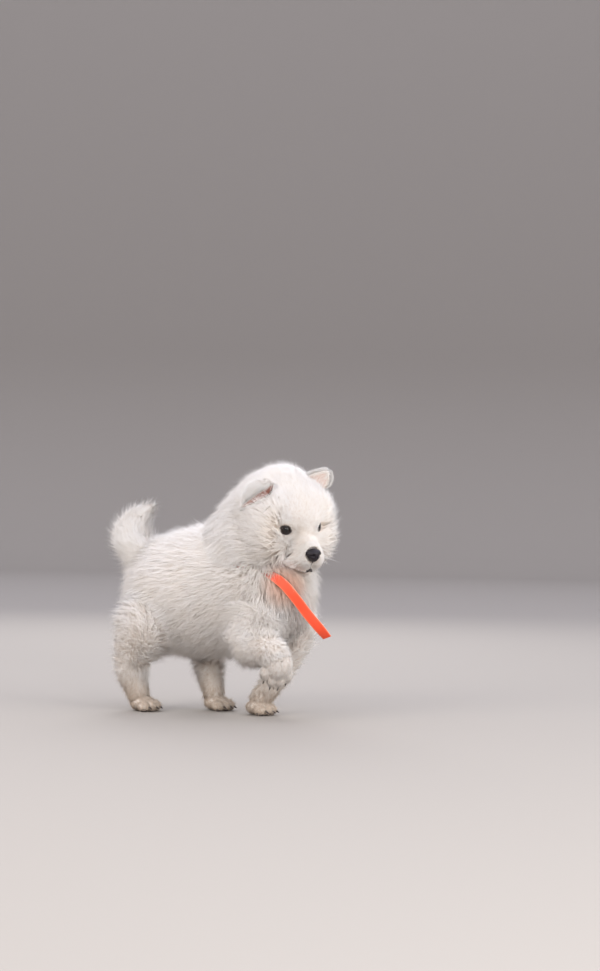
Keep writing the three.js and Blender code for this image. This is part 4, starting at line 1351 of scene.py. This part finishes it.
def rolled_ear(seed):
    """The hair of the near ear's back, which runs along the roll to its tip and over its lower edge."""
    stations = np.array(EAR_ROLL, float)
    stations[:, :3] = from_head(stations[:, :3])
    roll = Limb(stations, (0.15, 0.2))
    way = unit(stations[-1, :3] - stations[0, :3]) + [0, 0, -0.5]
    hair = grow(roll, 4600, one_way(way), even(11), even(0.24), seed, field=roll.outer, fuzz=even(5),
                clump=0.3, clump_size=5.0, stray=0.4, wool=0.2)
    return hair._replace(outward=unit(0.25 * hair.outward + EAR_LIGHT))


def under_paw(ball, p):
    """True below a paw, where its pads are bare."""
    return ((p - ball.middle) @ ball.turn)[:, 2] < -0.55 * ball.half[2]


# Eyes, nose, lips and ears


def globe_rows(rows, sides):
    """Polar angle and turn of each point of a ball whose pole faces +X."""
    return np.meshgrid(np.pi * np.arange(1, rows + 1) / (rows + 1), turns(sides), indexing="ij")


def eye_frame(side):
    """The turn of one eye, that faces forward and outward."""
    return HEAD_MATRIX @ turned((0, 0, EYE_OUTWARD * side))


def eyeball(name, side):
    """A ball whose cornea stands a little proud of it round the pole."""
    sides = 36
    polar, turn = globe_rows(28, sides)
    radius = EYE_RADIUS * (1 + 0.05 * np.exp(-((polar / 0.55) ** 2)))
    ball = (rays(polar, turn) * radius[..., None]) @ eye_frame(side).T
    points, faces = closed_rows(from_head(sided(EYE_AT, side)) + ball)
    eye = mesh_piece(name + "_globe", placed(points), faces, EYE)
    angle = np.concatenate([[0], np.repeat(polar[:, 0], sides), [np.pi]]) / np.pi
    add_map(eye, "Globe", np.stack([angle, np.full(len(angle), 0.5)], 1))
    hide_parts(name)


def almond(turn):
    """Across and up of the eye's opening: an oval whose inner and outer corners draw to a point."""
    wide, high = EYE_OPEN
    across = wide * np.cos(turn)
    up = high * np.sin(turn) * (0.55 + 0.45 * np.abs(np.sin(turn)))
    return across, up


def lids(name, side):
    """The dark rim of the lids: a round cord that follows the opening over the ball.

    It is thicker at both corners and along the upper lid.
    """
    steps, round_steps = 60, 10
    turn, round_it = turns(steps), turns(round_steps)
    across, up = almond(turn)
    across = across * side
    reach = np.sqrt(np.maximum(EYE_RADIUS**2 - across**2 - up**2, 4))
    outward = unit(np.stack([reach, across, up], 1))
    path = outward * (EYE_RADIUS + 0.25)
    sideways = unit(np.cross(outward, np.roll(path, -1, 0) - np.roll(path, 1, 0)))
    thick = 0.95 + 0.25 * np.abs(np.cos(turn)) ** 3 + 0.2 * np.maximum(np.sin(turn), 0)
    ring = outward[:, None] * np.cos(round_it)[None, :, None] * 0.7
    ring = ring + sideways[:, None] * np.sin(round_it)[None, :, None]
    points = (path[:, None] + ring * thick[:, None, None]).reshape(-1, 3)
    points = points @ eye_frame(side).T + from_head(sided(EYE_AT, side))
    faces = outward_faces(points, quads(steps, round_steps, ring=True))
    mesh_piece(name, placed(points), faces, RIM)


def nose_leather():
    """A broad rounded wedge: an ellipsoid, flatter on top and narrower below, with two comma-shaped
    nostrils pressed in and a groove down its front."""
    polar, turn = globe_rows(90, 120)
    x, y, z = np.moveaxis(rays(polar, turn), -1, 0)
    broad = 1 - 0.42 * smooth(0.15 - z * 0.95)
    tall = z * (1 - 0.2 * smooth(z))
    points = np.stack([x * NOSE_HALF[0], y * NOSE_HALF[1] * broad, tall * NOSE_HALF[2]], -1)
    side = np.abs(y)
    hole = 2.6 * np.exp(-(((side - 0.5) / 0.19) ** 2) - ((z + 0.02) / 0.19) ** 2) * (x > 0)
    comma = 1.3 * np.exp(-(((side - 0.82) / 0.2) ** 2) - ((z + 0.1) / 0.12) ** 2) * (x > -0.2)
    groove = 0.7 * np.exp(-((y / 0.06) ** 2)) * smooth(-z * 1.5 + 0.6) * (x > 0)
    points = points - unit(points) * (hole + comma + groove)[..., None]
    shell, faces = closed_rows(from_head(np.array(NOSE_AT) + points))
    leather = mesh_piece("nose_leather", placed(shell), faces, NOSE)
    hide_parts("nose")


def bar(path, radius, sides=8):
    """Rows of points round a path, with a radius at each of its points."""
    forward = unit(np.gradient(path, axis=0))
    across = unit(np.cross(forward, [0.13, 0.21, 0.97]))  # a way that no path here runs
    over = np.cross(forward, across)
    turn = turns(sides)[None, :, None]
    ring = across[:, None] * np.cos(turn) + over[:, None] * np.sin(turn)
    return path[:, None] + ring * np.asarray(radius)[:, None, None]


def lips():
    """The dark line of the lips, in front only, and the cleft over it: thin cords tapered to their ends."""
    line = shown_lips()
    line = line + 0.2 * unit(line - MOUTH_MIDDLE)
    taper = 0.3 + 1.2 * np.sin(np.pi * np.linspace(0, 1, len(line))) ** 0.8
    cleft = along(CLEFT, np.linspace(0, 1, 16))
    cords = [(line, taper), (cleft, np.full(len(cleft), 0.45))]
    shells = [closed_rows(bar(from_head(path), radius)) for path, radius in cords]
    points, faces = gathered(shells)
    mesh_piece("lips", placed(points), faces, RIM)


class Ear:
    """A cupped, pointed flap. u runs from its root, 0, to its tip, and w across it, from -1 to 1.

    Its half width falls off as (1 - u ** 1.7) ** 0.8, and its middle is pushed out at the back by the
    depth of its cup times 1 - w * w.
    """

    def __init__(self, name):
        front, back, tip, self.cup = EARS[name]
        a, b, top = (np.array(p, float) for p in (front, back, tip))
        self.foot, self.half = (a + b) / 2, (b - a) / 2
        self.rise = top - self.foot
        hollow = unit(np.cross(self.half, self.rise))
        self.hollow = hollow if hollow[2] < 0 else -hollow

    def at(self, u, w, off):
        """The place at u and w, and so far off the middle of its thickness."""
        wide = (1 - u**1.7) ** 0.8
        lift = self.cup * (1 - w * w) * wide * (1 - 0.4 * u) + off
        flat = self.foot + self.rise * u[..., None] + self.half * (w * wide)[..., None]
        return flat + self.hollow * lift[..., None]


def ear_leaf(name):
    """The leaf of an ear: rows that go out along one face and back along the other, to its tip."""
    shape = Ear(name)
    sides, rows = 20, 24
    u = np.linspace(0, 0.97, rows)[:, None]
    turn = np.arange(2 * sides)
    outer = turn < sides
    w = np.where(outer, -1 + 2 * turn / sides, 1 - 2 * (turn - sides) / sides)[None]
    wall = EAR_THICK / 2 * (0.35 + 0.65 * (1 - w * w)) * np.where(outer, 1, -1)[None]
    sunk = unit(shape.rise) * -EAR_SUNK * ((1 - u) ** 4)[..., None]
    shell, faces = closed_rows(from_head(shape.at(u, w, wall) + sunk))
    # the near ear's cup in painted shade
    tone = SHADED_EAR if name == "ear_right" else PALE_EAR
    ear = mesh_piece(name + "_leaf", placed(shell), faces, tone)
    leaf_u, leaf_w = np.broadcast_arrays(u, np.where(outer, 0, (w + 1) / 2))
    leaf = [np.concatenate([[0], leaf_u.ravel(), [1]]), np.concatenate([[0.5], leaf_w.ravel(), [0.5]])]
    add_map(ear, "Leaf", np.stack(leaf, 1))
    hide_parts(name)


# The hair of an ear: how many tufts, the share in its cup, and the share of the rim's on its front edge
EAR_HAIR = {"ear_right": (2500, 0.01, 0.8), "ear_left": (5500, 0.12, 0.5)}
RIM_SHARE = 0.4


def ear_fur(name, seed):
    """Tufts over the back of the ear and along its rim, and finer, shorter ones in its cup.

    Each has a place (u, w) of the leaf: those of the back and the rim run to the tip and turn out over
    the edge, and those in the cup lie close to it.
    """
    draw = np.random.default_rng(SEED + seed)
    shape = Ear(name)
    count, cup_share, front_share = EAR_HAIR[name]
    n = int(count * FINE)
    u, w = draw.random(n) ** 0.9, draw.uniform(-1, 1, n)
    kind = draw.random(n)
    rim, inside = kind < RIM_SHARE, kind > 1 - cup_share
    edge = np.where(draw.random(n) < front_share, -1.0, 1.0)
    w = np.where(rim, edge * (0.9 + 0.1 * np.abs(w)), w)
    face = np.where(inside, -1.0, 1.0)
    root = shape.at(u, w, EAR_THICK * 0.35 * face)
    spread = np.where(rim, 0.8, 0.5)[:, None] * w[:, None]
    way = unit(shape.rise) + spread * unit(shape.half) + (0.25 * face)[:, None] * shape.hollow
    way = unit(way + 0.2 * draw.normal(size=(n, 3)))
    length = ((2.5 + 6 * draw.random(n)) * np.where(inside, 0.7, 1.0))[:, None]
    bend = root + way * length * 0.5 + shape.hollow * (0.8 * face)[:, None]
    tip = root + way * length - shape.hollow * np.where(rim, 2.2, 0.0)[:, None]
    patch = np.stack([(w + 1) / 2, u], 1)
    outward = unit((shape.hollow @ HEAD_MATRIX.T) * np.where(rim, 0.0, 0.5 * face)[:, None] + EAR_LIGHT)
    places = [from_head(p) for p in (root, bend, tip)]
    return Tufts(*places, np.where(inside, 0.18, 0.32), patch, draw.random(n), outward)


def whiskers():
    """Pale feelers from both lips, thin and tapered, that bow down and out."""
    draw = np.random.default_rng(SEED + 90)
    shells = []
    for side in (1, -1):
        for _ in range(11):
            start = np.array([draw.uniform(44, 56), side * draw.uniform(12, 15), draw.uniform(-48, -40)])
            way = unit(np.array([draw.uniform(-0.1, 0.6), side * 1.0, draw.uniform(-0.35, 0.3)]))
            s = np.linspace(0, 1, 9)[:, None]
            length = draw.uniform(18, 34)
            path = start + way * length * s + np.array([-5, 0, -4]) * s**2
            shells.append(closed_rows(bar(from_head(path), 0.26 * (1.02 - s[:, 0]), 4)))
    points, faces = gathered(shells)
    mesh_piece("whiskers", placed(points), faces, WHISKER)


# Claws and pads


CLAW_LOW, PAD_LOW = 0.2, 0.15  # the least height of either over the floor
TOE_PAD, PAW_PAD = [5.6, 4, 2.9], [8.5, 8.5, 3.6]  # half sizes


def over_floor(rows, low):
    """Rows of points, lifted where they would come lower than this."""
    return np.maximum(rows, [-np.inf, -np.inf, low])


def claws_and_pads():
    """A curved, pointed claw on each toe, and a rounded pad under each toe and under the paw."""
    horns, soles = [], []
    s = np.linspace(0, 1, 8)
    for name, (at, toes, back) in PAWS.items():
        turn = paw_frame(toes, back) * paw_size(name)
        for x, y in TOE_PLACES:
            path = np.stack([x + TOE_HALF[0] - 3 + 6 * s, 0 * s + y, TOE_DROP - 0.5 - 2.8 * s**1.6], 1)
            horns.append(bar(np.array(at) + path @ turn.T, 1.4 * (1 - s) ** 0.6 + 0.12))
            soles.append(Ball(np.array(at) + turn @ [x + 0.5, y, TOE_DROP - 4.2], TOE_PAD, turn, 0))
        soles.append(Ball(np.array(at) + turn @ [-5, 0, -6.2], PAW_PAD, turn, 0))
    points, faces = gathered(closed_rows(over_floor(horn, CLAW_LOW)) for horn in horns)
    mesh_piece("claws", placed(points), faces, CLAW)
    shells = (closed_rows(over_floor(surface_rows(sole, 0.0, 12, 18), PAD_LOW)) for sole in soles)
    points, faces = gathered(shells)
    mesh_piece("pads", placed(points), faces, PAD)


# Ribbon


RIBBON_STEPS, RIBBON_LANES = 90, 12
RIBBON_BOW = 0.12  # how much its middle stands above its edges
END_REPEATS, BAND_REPEATS = 8, 24  # squares of the weave's map along either piece


def strip(path, across, out):
    """A thin woven strip along a path, bowed a little: rows across it over one face and back over the
    other, and how far across the strip each point of a row is."""
    w = np.linspace(-1, 1, RIBBON_LANES)
    bow = RIBBON_BOW * np.cos(np.pi * w)
    top = np.stack([w * RIBBON_WIDE / 2, RIBBON_THICK / 2 + bow], 1)
    low = np.stack([w[::-1] * RIBBON_WIDE / 2, -RIBBON_THICK / 2 + bow[::-1]], 1)
    section = np.concatenate([top, low])
    rows = path[:, None] + across[:, None] * section[None, :, :1] + out[:, None] * section[None, :, 1:]
    return rows, np.concatenate([(w + 1) / 2, (w[::-1] + 1) / 2])


def ribbon_end():
    """The loose end, that leaves the throat, turns over once and hangs in front of the chest."""
    t = np.linspace(0, 1, RIBBON_STEPS)
    path = along(RIBBON_END, t)
    forward = unit(np.gradient(path, axis=0))
    side = unit(np.cross(RIBBON_FACE, forward))
    angle = np.radians(along(np.array(RIBBON_TWIST)[:, None], t))
    across = side * np.cos(angle) + np.cross(forward, side) * np.sin(angle)
    rows, place = strip(path, across, np.cross(forward, across))
    shell, faces = closed_rows(rows)
    cloth = mesh_piece("ribbon_loose_end", placed(shell), faces, RIBBON)
    travel = np.concatenate([[0], np.repeat(t, len(place)), [1]])
    lane = np.concatenate([[0.5], np.tile(place, len(t)), [0.5]])
    add_map(cloth, "Cloth", np.stack([lane, travel * END_REPEATS], 1))
    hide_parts("ribbon_end")


def ribbon_band():
    """The band round the neck, under the coat: a closed ring of the same strip."""
    v = np.arange(RIBBON_STEPS) / RIBBON_STEPS
    u = np.full(RIBBON_STEPS, BAND_STATION)
    _, forward, _, _ = neck.frame(u)
    out = unit(neck.ring(u, v, 1.0) - neck.ring(u, v, 0.0))
    path = neck.ring(u, v, BAND_LEVEL) + out + forward * (BAND_DROOP * np.sin(2 * np.pi * v))[:, None]
    rows, place = strip(path, forward, out)
    points = rows.reshape(-1, 3)
    faces = outward_faces(points, quads(*rows.shape[:2], ring=True))
    cloth = mesh_piece("ribbon_neck_band", placed(points), faces, RIBBON)
    around = np.repeat(v, len(place)) * BAND_REPEATS
    add_map(cloth, "Cloth", np.stack([np.tile(place, RIBBON_STEPS), around], 1))
    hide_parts("ribbon_band")


# The puppy

make_skin()
make_coat()
for side, eye in ((-1, "eye_right"), (1, "eye_left")):
    eyeball(eye, side)
    lids(eye + "_lids", side)
nose_leather()
lips()
for ear in EARS:
    ear_leaf(ear)
whiskers()
claws_and_pads()
ribbon_end()
ribbon_band()


# Floor, light and camera


FLOOR_TONE = (0.36, 0.33, 0.295)
FLOOR_RADIUS, WALL_BEND, WALL_TOP = 6.5, 1.2, 3.6  # metres


def floor_and_wall():
    """A round pale floor that curves up into a low wall all round: a profile turned about the middle."""
    sides = 96
    bend = np.linspace(0, np.pi / 2, 14)
    inner, edge = [0.01, 3.0], FLOOR_RADIUS + WALL_BEND
    radius = np.concatenate([inner, FLOOR_RADIUS + WALL_BEND * np.sin(bend), [edge]])
    height = np.concatenate([[0, 0], WALL_BEND - WALL_BEND * np.cos(bend), [WALL_TOP]])
    around = np.stack([np.cos(turns(sides)), np.sin(turns(sides))], 1)
    flat = radius[:, None, None] * around[None]
    rows = np.concatenate([flat, np.broadcast_to(height[:, None, None], (*flat.shape[:2], 1))], -1)
    faces = quads(len(radius), sides)[:, ::-1]
    mesh = bpy.data.meshes.new("floor")
    mesh.from_pydata(rows.reshape(-1, 3).tolist(), [], [list(range(sides)), *faces.tolist()])
    mesh.shade_smooth()
    mesh.materials.append(finish("Pale floor", FLOOR_TONE, 0.9)[0])
    floor = bpy.data.objects.new("floor", mesh)
    bpy.context.scene.collection.objects.link(floor)


def soft_light(name, at, aim, size, power, tint=(1, 1, 1)):
    """A square area light at a place, turned to an aim."""
    lamp = bpy.data.lights.new(name, "AREA")
    lamp.shape = "SQUARE"
    lamp.size = size
    lamp.energy = power
    lamp.color = tint
    light = bpy.data.objects.new(name, lamp)
    light.location = at
    light.rotation_euler = (Vector(aim) - Vector(at)).to_track_quat("-Z", "Y").to_euler()
    light.visible_camera = False
    bpy.context.scene.collection.objects.link(light)


def studio():
    """A sky all round, a key from the camera's left, a fill from its right, one light for the glint in
    the eyes and one from behind for the edge of the coat."""
    soft_light("key", (-0.6, -1.9, 1.1), (0, 0, 0.15), 1.2, 23, (1, 0.96, 0.91))
    soft_light("fill", (2.0, -0.1, 0.8), (0, 0, 0.15), 1.5, 26, (1, 0.99, 0.98))
    soft_light("catch", (1.35, -1.5, 0.7), (0, 0, 0.2), 0.3, 8)
    soft_light("rim", (-0.9, 1.5, 1.4), (0, 0, 0.2), 1.2, 15)
    world = bpy.data.worlds.new("Sky")
    world.use_nodes = True
    sky = world.node_tree.nodes["Background"]
    sky.inputs["Color"].default_value = (0.86, 0.87, 1, 1)
    sky.inputs["Strength"].default_value = 1.4
    bpy.context.scene.world = world


# The photograph's view, for a frame of 600 by 971: how far away, how many pixels a radian covers,
# how high, how far the puppy stands left of the frame's middle and the horizon below it, and the roll.
VIEW = {"yaw": 28, "away": 2200, "pixels": 1760, "height": 232.5, "left": 70, "below": 42.5, "roll": 1.0}
FRAME_TALL = 971
SENSOR = 36  # millimetres, for the frame's longer side


def camera():
    """The photograph's camera."""
    yaw = math.radians(VIEW["yaw"])
    right = Vector((math.cos(yaw), math.sin(yaw), 0))
    ahead = Vector((-math.sin(yaw), math.cos(yaw), 0))
    beside = VIEW["left"] / VIEW["pixels"] * VIEW["away"]
    place = right * beside - ahead * VIEW["away"] + Vector((0, 0, VIEW["height"]))
    pitch = math.atan(VIEW["below"] / VIEW["pixels"])
    gaze = ahead * math.cos(pitch) + Vector((0, 0, 1)) * math.sin(pitch)
    up = right.cross(gaze)
    roll = math.radians(VIEW["roll"])
    tilted_right = right * math.cos(roll) + up * math.sin(roll)
    tilted_up = tilted_right.cross(gaze)
    lens = bpy.data.cameras.new("photograph")
    lens.sensor_width = SENSOR
    lens.lens = SENSOR * VIEW["pixels"] / FRAME_TALL
    lens.clip_start = 0.05
    eye = bpy.data.objects.new("photograph", lens)
    turn = Matrix((tilted_right, tilted_up, -gaze)).transposed().to_4x4()
    eye.matrix_world = Matrix.Translation(Vector(placed(place))) @ turn
    bpy.context.scene.collection.objects.link(eye)
    bpy.context.scene.camera = eye


floor_and_wall()
studio()
camera()
bpy.context.scene.view_settings.view_transform = "Standard"
